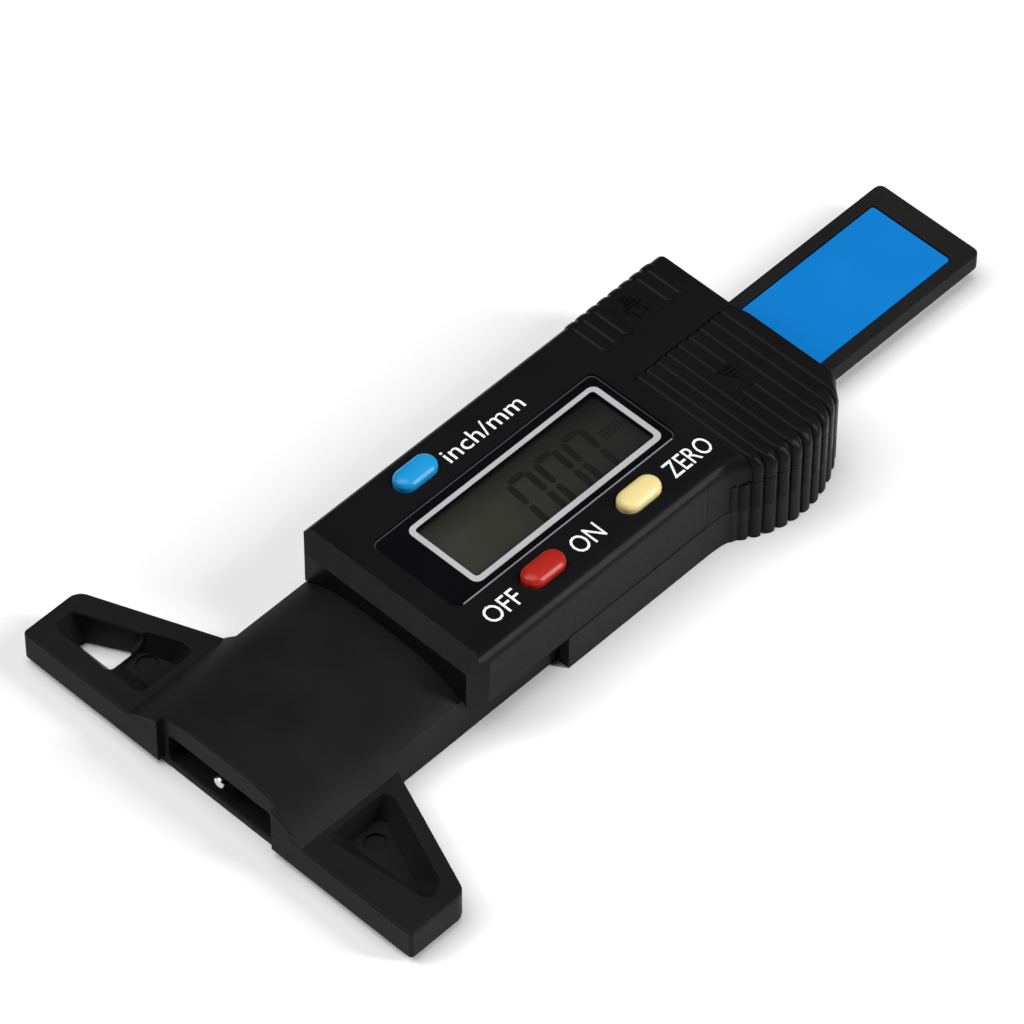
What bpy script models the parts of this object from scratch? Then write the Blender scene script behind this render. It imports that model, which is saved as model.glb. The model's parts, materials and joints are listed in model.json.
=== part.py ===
"""Digital tire tread gauge.

A display head slides along a fixed frame, which is a winged foot with an arched bridge
and a long beam.  The head carries the probe pin, which comes out of the foot as the head
moves towards it.  Sizes are in millimetres and the helpers turn them into metres.
x is across the gauge, y is measured back from the foot's front face, and z is up from
the plane the gauge lies on.
"""
import math

import bpy
import bmesh
from mathutils import Matrix, Vector

MM = 0.001
GAP = 0.3            # clearance that touching pieces keep
FIT = 0.12           # clearance between pieces that are pressed or glued together
PAST = 2.0           # how far a cutter runs past the faces it cuts

# --- driving dimensions -----------------------------------------------------------
LENGTH = 116.14      # foot face to beam end
TRAVEL = 25.4        # how far the head slides and the probe comes out

# foot and bridge
FOOT_HALF = 30.0
WING_BOTTOM, WING_TOP = 0.87, 5.19
WING_TIP_DEPTH = 8.26
WING_SWEEP = 0.40    # how much deeper the wing gets for each millimetre towards the bridge
BRIDGE_HALF = 12.11
ARCH_TOP, ARCH_SIDE, ARCH_POWER = 8.8, 6.1, 3.2
HOOD_END, RAIL_END, RAIL_TOP = 29.0, 42.0, 5.9
FACE_RECESS_HALF, FACE_RECESS = 8.8, 0.87
SLOT_HALF, SLOT_FLOOR, SLOT_ROOF, SLOT_LIP_END = 8.1, 1.2, 5.4, 3.2
POCKET_FLOOR, POCKET_HOLE_EDGE = 2.2, 20.8

# base plate under the foot
PLATE_HALF, PLATE_THICK, PLATE_START, PLATE_END = 11.0, 0.6, 3.5, 41.7
PAD_INNER, PAD_OUTER, PAD_START = 3.6, 7.0, 35.4

# beam
BEAM_HALF, BEAM_BOTTOM, BEAM_TOP, BEAM_START = 7.82, 2.19, 4.53, 36.0
LABEL_HALF, LABEL_START, LABEL_END = 6.03, 44.0, 112.9
LABEL_TOP, LABEL_THICK, BOARD_THICK = 4.42, 0.15, 0.6

# head, made of a shell and a back cover
HEAD_HALF, HEAD_FRONT, HEAD_REAR = 13.82, 25.9, 84.44
HEAD_TOP, ROOF_THICK, SEAM = 13.07, 1.17, 5.3
WALL = 1.42
HEAD_EDGE = 1.5      # rounding of the long top edges
CHAMFER_DEPTH, CHAMFER_DROP = 2.0, 1.6
CORNERS = {"left_front_corner": (-1, 1.9, 1.8), "right_front_corner": (1, 0.9, 2.9)}    # side, across, along
COVER_FRONT, COVER_FLOOR = 41.1, 0.6
COVER_FLOOR_START = RAIL_END + TRAVEL + 2 * GAP    # the rails' ends stop just short of the floor
COVER_HALF = 13.9
GUIDE_GAP_LEFT, GUIDE_GAP_RIGHT = 1.1, 0.3

# the bulge on the right rear side, an arc in plan
BULGE_START, BULGE_END, BULGE_OUT = 66.2, 84.98, 17.4

# display
WINDOW_X, WINDOW_Y, WINDOW_CORNER = (-6.68, 6.68), (30.85, 66.1), 1.0
WINDOW_BOTTOM, WINDOW_TOP, WINDOW_SEAT = 12.05, 12.6, 0.2
GLASS_BOTTOM, GLASS_TOP = 10.6, 11.85
STRIP_WIDE, STRIP_INSET = 1.2, 0.1    # rubber strips between the glass and the board

# boards
BOARD_BOTTOM, BOARD_TOP, BOARD_HALF, BOARD_Y = 9.15, 9.85, 12.1, (27.9, 67.5)
PICKUP_HALF, PICKUP_Y, PICKUP_BOTTOM, PICKUP_TOP = 5.9, (57.0, 82.4), 4.75, 5.35
CHIP_X, CHIP_Y, CHIP_THICK = (-3.2, 2.8), (48.5, 54.5), 0.48
LINK_X, LINK_Y = (-4.0, 4.0), (62.0, 64.4)
DOME_RADIUS, DOME_RISE = 1.5, 0.55

# screws and rivets: how far from the middle line, and how far back
BASE_SCREW_X, BASE_SCREW_Y = 9.6, (8.0, 33.0)
BEAM_SCREW_X, BEAM_SCREW_Y = 5.3, 38.6
COVER_SCREWS = {"cover_screw_front_left": (-10.3, 70.1), "cover_screw_rear_left": (-10.3, 81.6),
                "cover_screw_right": (10.1, 69.3)}
BOARD_SCREW_X, BOARD_SCREW_Y = 10.6, (31.2, 65.6)
RIVETS = {"carrier_rivet_front": (0.0, 71.5), "carrier_rivet_rear": (0.0, 78.0)}
COVER_POST_HALF, BOARD_BOSS_RADIUS = 1.2, 1.2

# buttons
BUTTON_LONG, BUTTON_WIDE, BUTTON_TOP, BUTTON_PLAY = 6.0, 3.1, 14.2, 0.2
BUTTON_FLANGE_BOTTOM, BUTTON_FLANGE_TOP, BUTTON_FLANGE_LONG = 10.9, 11.5, 7.9
BUTTONS = {"unit_button": (-10.15, 41.5), "power_button": (9.6, 41.4), "zero_button": (9.7, 56.5)}

# battery and its cover
BATTERY_X, BATTERY_Y, BATTERY_RADIUS = 9.0, 77.0, 5.8
BATTERY_BOTTOM, BATTERY_THICK = 6.4, 4.2
BAY_FLOOR, BAY_WALL = 6.0, 1.1
CONTACT_LOW, CONTACT_THICK, CONTACT_DISC, CONTACT_X = 6.05, 0.2, 2.5, (1.0, 12.0)
CLIP_X, CLIP_THICK, CLIP_TOP, FINGER_END, FINGER_HEIGHT = 0.2, 0.25, 10.2, 2.9, 8.4
LID_LEFT, LID_FRONT, LID_REAR, LID_BOTTOM, LID_SKIRT = -2.1, 68.8, 84.98, 12.05, 9.6
LID_WALL, LID_AXIS_X = 1.1, 7.5
HOOK_SPAN, HOOK_BOTTOM, HOOK_TOP = (73.0, 81.0), 10.95, 11.6

# probe
PIN_RADIUS, PIN_HEIGHT, PIN_TIP, PIN_END = 0.75, 4.1, 0.6, 32.5
STRIP_HALF, STRIP_BOTTOM, STRIP_TOP, STRIP_END = 3.0, 0.9, 1.6, 80.5
BLOCK_START, BLOCK_END, BLOCK_HALF, BLOCK_TOP = 30.0, 34.0, 3.4, 5.1


# --- collections, materials and placing ---------------------------------------------
for old in list(bpy.data.objects):
    bpy.data.objects.remove(old, do_unlink=True)

PARTS = bpy.data.collections.new("tread_gauge")
CUTTERS = bpy.data.collections.new("cutters")
for group in (PARTS, CUTTERS):
    bpy.context.scene.collection.children.link(group)


def material(name, colour, roughness, metallic=0.0):
    made = bpy.data.materials.new(name)
    made.use_nodes = True
    shader = made.node_tree.nodes["Principled BSDF"]
    shader.inputs["Base Color"].default_value = (*colour, 1.0)
    shader.inputs["Roughness"].default_value = roughness
    shader.inputs["Metallic"].default_value = metallic
    return made


FOOT_PLASTIC = material("foot_plastic", (0.030, 0.030, 0.032), 0.62)
SHELL_PLASTIC = material("shell_plastic", (0.026, 0.026, 0.028), 0.48)
COVER_PLASTIC = material("cover_plastic", (0.026, 0.026, 0.028), 0.55)
BEAM_PLASTIC = material("beam_plastic", (0.045, 0.045, 0.047), 0.60)
LABEL_BLUE = material("label_film", (0.007, 0.225, 0.71), 0.38)
BOARD_GREEN = material("board_green", (0.02, 0.14, 0.05), 0.45)
STEEL = material("steel", (0.62, 0.62, 0.60), 0.28, 1.0)
WINDOW_BLACK = material("window_black", (0.008, 0.008, 0.009), 0.10)
GLASS_GREY = material("glass_grey", (0.11, 0.12, 0.095), 0.15)
RUBBER = material("connector_rubber", (0.55, 0.50, 0.55), 0.70)
CHIP_BLACK = material("chip_epoxy", (0.01, 0.01, 0.01), 0.35)
GOLD = material("contact_gold", (0.75, 0.55, 0.22), 0.30, 1.0)
BUTTON_COLOURS = {
    "unit_button": material("button_blue", (0.015, 0.33, 0.80), 0.40),
    "power_button": material("button_red", (0.56, 0.02, 0.015), 0.40),
    "zero_button": material("button_yellow", (0.86, 0.73, 0.28), 0.40),
}


def at(x, y, z):
    """World place of a point given in the gauge's own millimetres."""
    return Vector((x, y - LENGTH / 2, z)) * MM


def adopt(thing, name, skin, cutter):
    """Name an object, give it its material and put it in its collection."""
    thing.name = name
    thing.data.name = name
    for group in list(thing.users_collection):
        group.objects.unlink(thing)
    if cutter:
        CUTTERS.objects.link(thing)
        thing.hide_render = True
        thing.display_type = "WIRE"
    else:
        PARTS.objects.link(thing)
        thing.data.materials.clear()
        thing.data.materials.append(skin)
    return thing


# --- shapes --------------------------------------------------------------------------
def box(name, xs, ys, zs, skin=None):
    """A block between the two x, two y and two z values; without a material, a cutter."""
    centre = at(sum(xs) / 2, sum(ys) / 2, sum(zs) / 2)
    bpy.ops.mesh.primitive_cube_add(size=1, location=centre)
    block = bpy.context.object
    sides = [(high - low) * MM for low, high in (xs, ys, zs)]
    block.data.transform(Matrix.Diagonal((*sides, 1.0)))
    return adopt(block, name, skin, skin is None)


def cylinder(name, radius, centre, span, axis="Z", skin=None, sides=32):
    """A round bar along one axis; centre holds the other two coordinates, in order."""
    low, high = span
    middle = (low + high) / 2
    turns = {"X": Matrix.Rotation(math.radians(90), 4, "Y"),
             "Y": Matrix.Rotation(math.radians(90), 4, "X"), "Z": Matrix.Identity(4)}
    places = {"X": (middle, *centre), "Y": (centre[0], middle, centre[1]), "Z": (*centre, middle)}
    bpy.ops.mesh.primitive_cylinder_add(vertices=sides, radius=radius * MM,
                                        depth=(high - low) * MM, location=at(*places[axis]))
    bar = bpy.context.object
    bar.data.transform(turns[axis])
    return adopt(bar, name, skin, skin is None)


def prism(name, outline, span, axis="Z", skin=None):
    """A filled outline made thick along an axis.

    The outline is in (x, y) for axis Z, in (y, z) for axis X and in (x, z) for axis Y.
    """
    low, high = span
    turns = {"X": Matrix(((0, 0, 1, 0), (1, 0, 0, 0), (0, 1, 0, 0), (0, 0, 0, 1))),
             "Y": Matrix.Rotation(math.radians(90), 4, "X"), "Z": Matrix.Identity(4)}
    middle = (low + high) / 2
    places = {"X": at(middle, 0, 0), "Y": at(0, middle, 0), "Z": at(0, 0, middle)}
    curve = bpy.data.curves.new(name + "_outline", "CURVE")
    curve.dimensions = "2D"
    curve.fill_mode = "BOTH"
    curve.extrude = (high - low) / 2 * MM
    spline = curve.splines.new("POLY")
    spline.points.add(len(outline) - 1)
    for point, (first, second) in zip(spline.points, outline):
        point.co = (first * MM, second * MM, 0, 1)
    spline.use_cyclic_u = True
    guide = bpy.data.objects.new(name + "_outline", curve)
    PARTS.objects.link(guide)
    bpy.context.view_layer.update()
    solid = guide.evaluated_get(bpy.context.evaluated_depsgraph_get())
    mesh = bpy.data.meshes.new_from_object(solid)
    bpy.data.objects.remove(guide, do_unlink=True)
    weld(mesh)
    mesh.transform(turns[axis])
    block = bpy.data.objects.new(name, mesh)
    block.location = places[axis]
    PARTS.objects.link(block)
    return adopt(block, name, skin, skin is None)


def turned(name, profile, x, y, skin=None, sides=24):
    """A solid turned about a vertical axis; the profile runs from the top axis point down."""
    mesh = bpy.data.meshes.new(name)
    points = [(radius * MM, 0, height * MM) for radius, height in profile]
    edges = [(i, i + 1) for i in range(len(points) - 1)]
    mesh.from_pydata(points, edges, [])
    solid = bpy.data.objects.new(name, mesh)
    solid.location = at(x, y, 0)
    PARTS.objects.link(solid)
    screw = solid.modifiers.new("turn", "SCREW")
    screw.steps = sides
    screw.render_steps = sides
    screw.use_merge_vertices = True
    screw.merge_threshold = 0.00001
    return adopt(solid, name, skin, skin is None)


def weld(mesh):
    """Join the loose caps of a filled outline to its sides."""
    work = bmesh.new()
    work.from_mesh(mesh)
    bmesh.ops.remove_doubles(work, verts=work.verts, dist=0.000001)
    bmesh.ops.recalc_face_normals(work, faces=work.faces)
    work.to_mesh(mesh)
    work.free()


def combine(target, tools, operation):
    for tool in tools:
        change = target.modifiers.new(tool.name, "BOOLEAN")
        change.operation = operation
        change.solver = "EXACT"
        change.object = tool
    return target


def cut(target, *tools):
    return combine(target, tools, "DIFFERENCE")


def unite(target, *tools):
    return combine(target, tools, "UNION")


def chamfer(thing, width, segments=2, angle=40):
    edge = thing.modifiers.new("edge", "BEVEL")
    edge.width = width * MM
    edge.segments = segments
    edge.limit_method = "ANGLE"
    edge.angle_limit = math.radians(angle)
    return thing


def smooth(thing, angle=35):
    thing.data.shade_smooth()
    thing.data.set_sharp_from_angle(angle=math.radians(angle))
    return thing


# --- outlines ------------------------------------------------------------------------
def rounded(corners, radius, steps=4):
    """The outline through the corners, each turned by an arc of the given radius."""
    outline = []
    count = len(corners)
    for index, corner in enumerate(corners):
        here = Vector(corner)
        back = (Vector(corners[index - 1]) - here).normalized()
        ahead = (Vector(corners[(index + 1) % count]) - here).normalized()
        half = back.angle(ahead) / 2
        reach = radius / math.tan(half)
        centre = here + (back + ahead).normalized() * (radius / math.sin(half))
        start = here + back * reach - centre
        finish = here + ahead * reach - centre
        sweep = start.angle_signed(finish)
        for step in range(steps + 1):
            turn = Matrix.Rotation(-sweep * step / steps, 2)
            outline.append(tuple(centre + turn @ start))
    return outline


def rectangle(xs, ys, radius=0.0):
    corners = [(xs[0], ys[0]), (xs[1], ys[0]), (xs[1], ys[1]), (xs[0], ys[1])]
    return rounded(corners, radius) if radius else corners


def arch(extra=0.0, half=BRIDGE_HALF, base=0.0, steps=16):
    """The bridge's cross-section in (x, z), grown by extra on every side."""
    reach = half + extra
    outline = [(-reach, base - extra), (reach, base - extra)]
    for step in range(steps + 1):
        x = reach * math.cos(math.pi * step / steps)
        drop = (ARCH_TOP - ARCH_SIDE) * abs(x / reach) ** ARCH_POWER
        outline.append((x, ARCH_TOP + extra - drop))
    return outline


def bulge(inset=0.0, half=HEAD_HALF, steps=14):
    """Plan outline of the bulge: an arc from its start to its end, closed inside the head."""
    start = Vector((half, BULGE_START))
    finish = Vector((half, BULGE_END))
    rise = BULGE_OUT - half
    chord = (finish - start).length
    radius = chord * chord / (8 * rise) + rise / 2
    centre = Vector((BULGE_OUT - radius, (BULGE_START + BULGE_END) / 2))
    reach = math.asin(chord / 2 / radius)
    outline = []
    for step in range(steps + 1):
        angle = -reach + 2 * reach * step / steps
        point = centre + Vector((math.cos(angle), math.sin(angle))) * (radius - inset)
        outline.append(tuple(point))
    return outline


def oval(long, wide, x, y, steps=8):
    """A button's plan: two straight sides and two half-round ends, long along y."""
    radius = wide / 2
    straight = long / 2 - radius
    outline = []
    for end in (-1, 1):
        for step in range(steps + 1):
            angle = math.pi * step / steps + (math.pi if end < 0 else 0)
            outline.append((x + radius * math.cos(angle), y + end * straight + radius * math.sin(angle)))
    return outline


def wing_rear(x):
    """How far back the wings reach at a given x."""
    return WING_TIP_DEPTH + WING_SWEEP * (FOOT_HALF - abs(x))


# --- fixed frame -----------------------------------------------------------------------
def make_foot_frame():
    wings = [(-FOOT_HALF, 0), (FOOT_HALF, 0), (FOOT_HALF, wing_rear(FOOT_HALF)),
             (BRIDGE_HALF, wing_rear(BRIDGE_HALF)), (-BRIDGE_HALF, wing_rear(BRIDGE_HALF)),
             (-FOOT_HALF, wing_rear(FOOT_HALF))]
    foot = prism("foot_frame", rounded(wings, 1.2), (WING_BOTTOM, WING_TOP), "Z", FOOT_PLASTIC)
    bridge = prism("bridge_body", arch(), (0, RAIL_END), "Y")
    unite(foot, bridge)
    recess = box("face_recess", (-FACE_RECESS_HALF, FACE_RECESS_HALF), (-PAST, FACE_RECESS),
                 (-PAST, ARCH_TOP + PAST))
    mouth = prism("slot_mouth", rectangle((-SLOT_HALF, SLOT_HALF), (SLOT_FLOOR, SLOT_ROOF), 1.0),
                  (-PAST, SLOT_LIP_END + 0.5), "Y")
    channel = box("channel", (-SLOT_HALF, SLOT_HALF), (SLOT_LIP_END, RAIL_END + PAST), (-PAST, SLOT_ROOF))
    ledge = box("plate_ledge", (-PLATE_HALF - GAP, PLATE_HALF + GAP),
                (PLATE_START - GAP, RAIL_END + PAST), (-PAST, PLATE_THICK + GAP))
    open_rails = box("open_rails", (-FOOT_HALF, FOOT_HALF), (HOOD_END, RAIL_END + PAST),
                     (RAIL_TOP, ARCH_TOP + PAST))
    between_rails = box("between_rails", (-SLOT_HALF, SLOT_HALF), (HOOD_END, RAIL_END + PAST),
                        (SLOT_ROOF - PAST, ARCH_TOP + PAST))
    cut(foot, recess, mouth, channel, ledge, open_rails, between_rails)
    for side, name in ((-1, "left_heel"), (1, "right_heel")):
        across = sorted((side * FACE_RECESS_HALF, side * (BRIDGE_HALF + PAST)))
        cut(foot, box(name, across, (-PAST, PLATE_START - GAP), (-PAST, WING_BOTTOM)))
    for side in (-1, 1):
        pocket = [(side * 14.6, 3.0), (side * 28.4, 3.6), (side * 27.8, 6.4), (side * 14.6, 11.6)]
        name = "left_pocket" if side < 0 else "right_pocket"
        outline = rounded(pocket if side > 0 else pocket[::-1], 0.9)
        cut(foot, prism(name, outline, (POCKET_FLOOR, WING_TOP + PAST)))
    hole = [(-26.6, 3.4), (-POCKET_HOLE_EDGE, 3.4), (-POCKET_HOLE_EDGE, 8.5), (-27.2, 5.9)]
    cut(foot, prism("hanging_hole", rounded(hole, 0.6), (-PAST, WING_TOP + PAST)))
    for name, x, y in base_screw_places():
        cut(foot, cylinder(name + "_hole", 0.9, (x, y), (-PAST, 4.0), sides=16))
    return foot


def base_screw_places():
    corners = [(side * BASE_SCREW_X, y) for y in BASE_SCREW_Y for side in (-1, 1)]
    return [("base_screw_%d" % (index + 1), x, y) for index, (x, y) in enumerate(corners)]


def make_base_plate():
    plate = box("base_plate", (-PLATE_HALF, PLATE_HALF), (PLATE_START, PLATE_END), (0, PLATE_THICK),
                COVER_PLASTIC)
    for side, name in ((-1, "left_pad"), (1, "right_pad")):
        across = sorted((side * PAD_INNER, side * PAD_OUTER))
        unite(plate, box(name, across, (PAD_START, PLATE_END - GAP), (PLATE_THICK / 2, BEAM_BOTTOM - GAP)))
    for name, x, y in base_screw_places():
        sink = [(0, PAST), (0.85, PAST), (0.85, PLATE_THICK), (1.75, -GAP), (0, -GAP)]
        cut(plate, turned(name + "_sink", sink, x, y, sides=20))
    for name, x, y in beam_screw_places():
        cut(plate, cylinder(name + "_clearance", 0.95, (x, y), (-PAST, PAST * 2), sides=16))
        cut(plate, cylinder(name + "_sink", 1.55, (x, y), (-PAST, 0.95), sides=20))
    return plate


def beam_screw_places():
    return [("beam_screw_left", -BEAM_SCREW_X, BEAM_SCREW_Y),
            ("beam_screw_right", BEAM_SCREW_X, BEAM_SCREW_Y)]


def screw(name, x, y, head_low, head_high, head_radius, shank_radius, tip):
    """A screw driven upwards: its head lies below its shank."""
    profile = [(0, tip), (shank_radius * 0.6, tip), (shank_radius, tip - 0.4),
               (shank_radius, head_high), (head_radius, head_high), (head_radius, head_low), (0, head_low)]
    return smooth(turned(name, profile, x, y, STEEL, sides=16))


def make_base_screws():
    for name, x, y in base_screw_places():
        countersunk = [(0, 3.6), (0.36, 3.6), (0.6, 3.2), (0.6, 0.7), (1.2, 0.1), (1.2, 0.05), (0, 0.05)]
        smooth(turned(name, countersunk, x, y, STEEL, sides=16))
    for name, x, y in beam_screw_places():
        screw(name, x, y, 0.1, 0.8, 1.3, 0.65, 3.6)


def make_beam():
    outline = rectangle((-BEAM_HALF, BEAM_HALF), (BEAM_START, LENGTH), 0.9)
    beam = prism("beam", outline, (BEAM_BOTTOM, BEAM_TOP), "Z", BEAM_PLASTIC)
    floor = LABEL_TOP - LABEL_THICK - BOARD_THICK - 3 * FIT
    cut(beam, prism("label_recess", rectangle((-LABEL_HALF - 0.15, LABEL_HALF + 0.15),
                                              (LABEL_START - 0.15, LABEL_END + 0.15), 0.5),
                    (floor, BEAM_TOP + PAST)))
    for name, x, y in beam_screw_places():
        cut(beam, cylinder(name + "_hole", 0.8, (x, y), (-PAST, 3.9), sides=16))
    board_low = floor + FIT
    board_high = board_low + BOARD_THICK
    label = rectangle((-LABEL_HALF, LABEL_HALF), (LABEL_START, LABEL_END), 0.4)
    prism("scale_board", label, (board_low, board_high), "Z", BOARD_GREEN)
    prism("scale_label", label, (board_high + FIT, LABEL_TOP), "Z", LABEL_BLUE)
    return beam


# --- head ------------------------------------------------------------------------------
def head_section():
    """The head's cross-section in (x, z), with its long top edges rounded."""
    outline = [(-HEAD_HALF, SEAM), (HEAD_HALF, SEAM)]
    for side in (1, -1):
        for step in range(7):
            angle = math.radians(90) * step / 6
            across, up = math.cos(angle), math.sin(angle)
            if side < 0:
                across, up = up, across
            outline.append((side * (HEAD_HALF - HEAD_EDGE + HEAD_EDGE * across),
                            HEAD_TOP - HEAD_EDGE + HEAD_EDGE * up))
    return outline


def front_cutters():
    """The sloping face above the front wall and the two cut corners beside it."""
    slope = CHAMFER_DROP / CHAMFER_DEPTH
    run = CHAMFER_DEPTH + PAST
    low = HEAD_TOP - CHAMFER_DROP - PAST * slope
    face = [(HEAD_FRONT - PAST, low), (HEAD_FRONT + run, HEAD_TOP + PAST * slope),
            (HEAD_FRONT - PAST, HEAD_TOP + PAST * slope)]
    tools = [prism("front_slope", face, (-HEAD_HALF - PAST, HEAD_HALF + PAST), "X")]
    for name, (side, across, along) in CORNERS.items():
        rate = across / along
        inner = HEAD_HALF - across - PAST * rate
        outer = HEAD_HALF + PAST * rate
        corner = [(side * inner, HEAD_FRONT - PAST), (side * outer, HEAD_FRONT - PAST),
                  (side * outer, HEAD_FRONT + along + PAST)]
        tools.append(prism(name, corner if side > 0 else corner[::-1], (0, HEAD_TOP + PAST)))
    return tools


def cover_screw_places():
    return [(name, x, y) for name, (x, y) in COVER_SCREWS.items()]


def board_screw_places():
    corners = [(side * BOARD_SCREW_X, y) for y in BOARD_SCREW_Y for side in (-1, 1)]
    return [("board_screw_%d" % (index + 1), x, y) for index, (x, y) in enumerate(corners)]


def make_head_shell():
    shell = prism("head_shell", head_section(), (HEAD_FRONT, HEAD_REAR), "Y", SHELL_PLASTIC)
    unite(shell, prism("shell_bulge", bulge_closed(), (SEAM - GAP, LID_SKIRT - GAP)))
    inset_wall = bulge_closed(LID_WALL + GAP)
    unite(shell, prism("bay_side_wall", inset_wall, (LID_SKIRT - 1.0, HEAD_TOP - ROOF_THICK / 2)))
    cut(shell, *front_cutters())
    inner = HEAD_HALF - WALL
    cut(shell, box("head_cavity", (-inner, inner), (HEAD_FRONT + WALL, HEAD_REAR - WALL),
                   (0, HEAD_TOP - ROOF_THICK)))
    cut(shell, prism("bridge_doorway", arch(GAP), (HEAD_FRONT - PAST, HEAD_FRONT + WALL + PAST), "Y"))
    cut(shell, prism("window_opening", rectangle(WINDOW_X, WINDOW_Y, WINDOW_CORNER),
                     (HEAD_TOP - ROOF_THICK - PAST / 4, HEAD_TOP + PAST)))
    for name, (x, y) in BUTTONS.items():
        hole = oval(BUTTON_LONG + 2 * BUTTON_PLAY, BUTTON_WIDE + 2 * BUTTON_PLAY, x, y)
        cut(shell, prism(name + "_opening", hole, (HEAD_TOP - ROOF_THICK - PAST / 4, HEAD_TOP + PAST)))
    add_shell_posts(shell)
    add_battery_bay(shell)
    add_screw_holes(shell)
    cut(shell, box("seam_trim", (-FOOT_HALF, FOOT_HALF), (0, LENGTH), (-PAST, SEAM + GAP / 2)))
    return shell


def bulge_closed(inset=0.0, half=HEAD_HALF):
    """The bulge's arc closed by a straight edge inside the side wall."""
    inner = HEAD_HALF - WALL / 2
    arc = [(x, min(y, HEAD_REAR - 0.01)) for x, y in bulge(inset, half) if x > inner]
    return [(inner, arc[0][1])] + arc + [(inner, arc[-1][1])]


def add_battery_bay(shell):
    """Floor and walls of the battery bay, and the roof opening that the cover closes."""
    inner = HEAD_HALF - WALL
    left, front, rear = LID_LEFT - 1.5, LID_FRONT + 0.4, HEAD_REAR - WALL / 2
    bay = box("bay_block", (left, inner + WALL / 3), (front, rear),
              (BAY_FLOOR - 0.35, HEAD_TOP - ROOF_THICK / 2))
    unite(shell, bay)
    roof = box("lid_opening", (LID_LEFT - GAP, BULGE_OUT + PAST), (LID_FRONT - GAP, HEAD_REAR + PAST),
               (LID_BOTTOM - GAP, HEAD_TOP + PAST))
    rebate = (LID_SKIRT - GAP + 0.05, HEAD_TOP + PAST)
    rear_rebate = box("lid_rear_rebate", (LID_LEFT - GAP, BULGE_OUT + PAST),
                      (LID_REAR - LID_WALL - GAP, HEAD_REAR + PAST), rebate)
    side_rebate = box("lid_side_rebate", (HEAD_HALF - 0.2, BULGE_OUT + PAST),
                      (LID_FRONT - GAP, LID_FRONT + 1.6), rebate)
    corner_rebate = box("lid_corner_rebate", (HEAD_HALF - 0.5, BULGE_OUT + PAST),
                        (LID_REAR - 3.0, HEAD_REAR + PAST), rebate)
    room = box("bay_room", (left + BAY_WALL, inner - 4.0), (front + BAY_WALL, rear - BAY_WALL),
               (BAY_FLOOR, HEAD_TOP + PAST))
    well = cylinder("battery_well", BATTERY_RADIUS + GAP, (BATTERY_X, BATTERY_Y),
                    (BAY_FLOOR, HEAD_TOP + PAST), sides=40)
    hook_way = box("lid_hook_way", (left - PAST, BULGE_OUT + PAST),
                   (HOOK_SPAN[0] - GAP, HOOK_SPAN[1] + GAP), (HOOK_BOTTOM - GAP, HEAD_TOP - ROOF_THICK))
    cut(shell, roof, rear_rebate, side_rebate, corner_rebate, room, well, hook_way)


def add_shell_posts(shell):
    for name, x, y in cover_screw_places():
        outer = side_wall_x(x)
        across = sorted((x - math.copysign(1.8, x), outer))
        unite(shell, box(name + "_post", across, (y - COVER_POST_HALF, y + COVER_POST_HALF),
                         (SEAM, HEAD_TOP - ROOF_THICK / 2)))
    for name, x, y in board_screw_places():
        unite(shell, cylinder(name + "_boss", BOARD_BOSS_RADIUS, (x, y),
                              (BOARD_TOP + FIT, HEAD_TOP - ROOF_THICK / 2), sides=16))


def add_screw_holes(shell):
    for name, x, y in cover_screw_places():
        cut(shell, cylinder(name + "_hole", 0.95, (x, y), (0, 10.2), sides=16))
    for name, x, y in board_screw_places():
        cut(shell, cylinder(name + "_hole", 0.75, (x, y), (BOARD_TOP - PAST, 11.8), sides=16))


def side_wall_x(x):
    """A place inside the side wall on the same side as x."""
    return math.copysign(HEAD_HALF - WALL / 2, x)


def make_back_cover():
    """Lower casing: two skirts beside the frame's rails, and a floor under the beam at the rear."""
    inner = HEAD_HALF - WALL
    top = SEAM - GAP / 2
    cover = box("back_cover", (-COVER_HALF, COVER_HALF), (COVER_FRONT, HEAD_REAR), (0, top), COVER_PLASTIC)
    unite(cover, prism("cover_bulge", bulge_closed(), (0, top)))
    cut(cover, box("cover_front_room", (-inner, inner), (COVER_FRONT - PAST, COVER_FLOOR_START),
                   (-PAST, top + PAST)))
    left, right = -BEAM_HALF - GUIDE_GAP_LEFT, BEAM_HALF + GUIDE_GAP_RIGHT
    cut(cover, box("beam_way", (left, right), (COVER_FLOOR_START - PAST, HEAD_REAR + PAST),
                   (COVER_FLOOR, top + PAST)))
    for name, x, y in cover_screw_places():
        cut(cover, cylinder(name + "_clearance", 0.95, (x, y), (-PAST, top + PAST), sides=16))
        cut(cover, cylinder(name + "_sink", 1.8, (x, y), (-PAST, 1.3), sides=20))
    for name, x, y in rivet_places():
        cut(cover, cylinder(name + "_hole", 0.75, (x, y), (-PAST, PAST), sides=16))
    return cover


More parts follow.
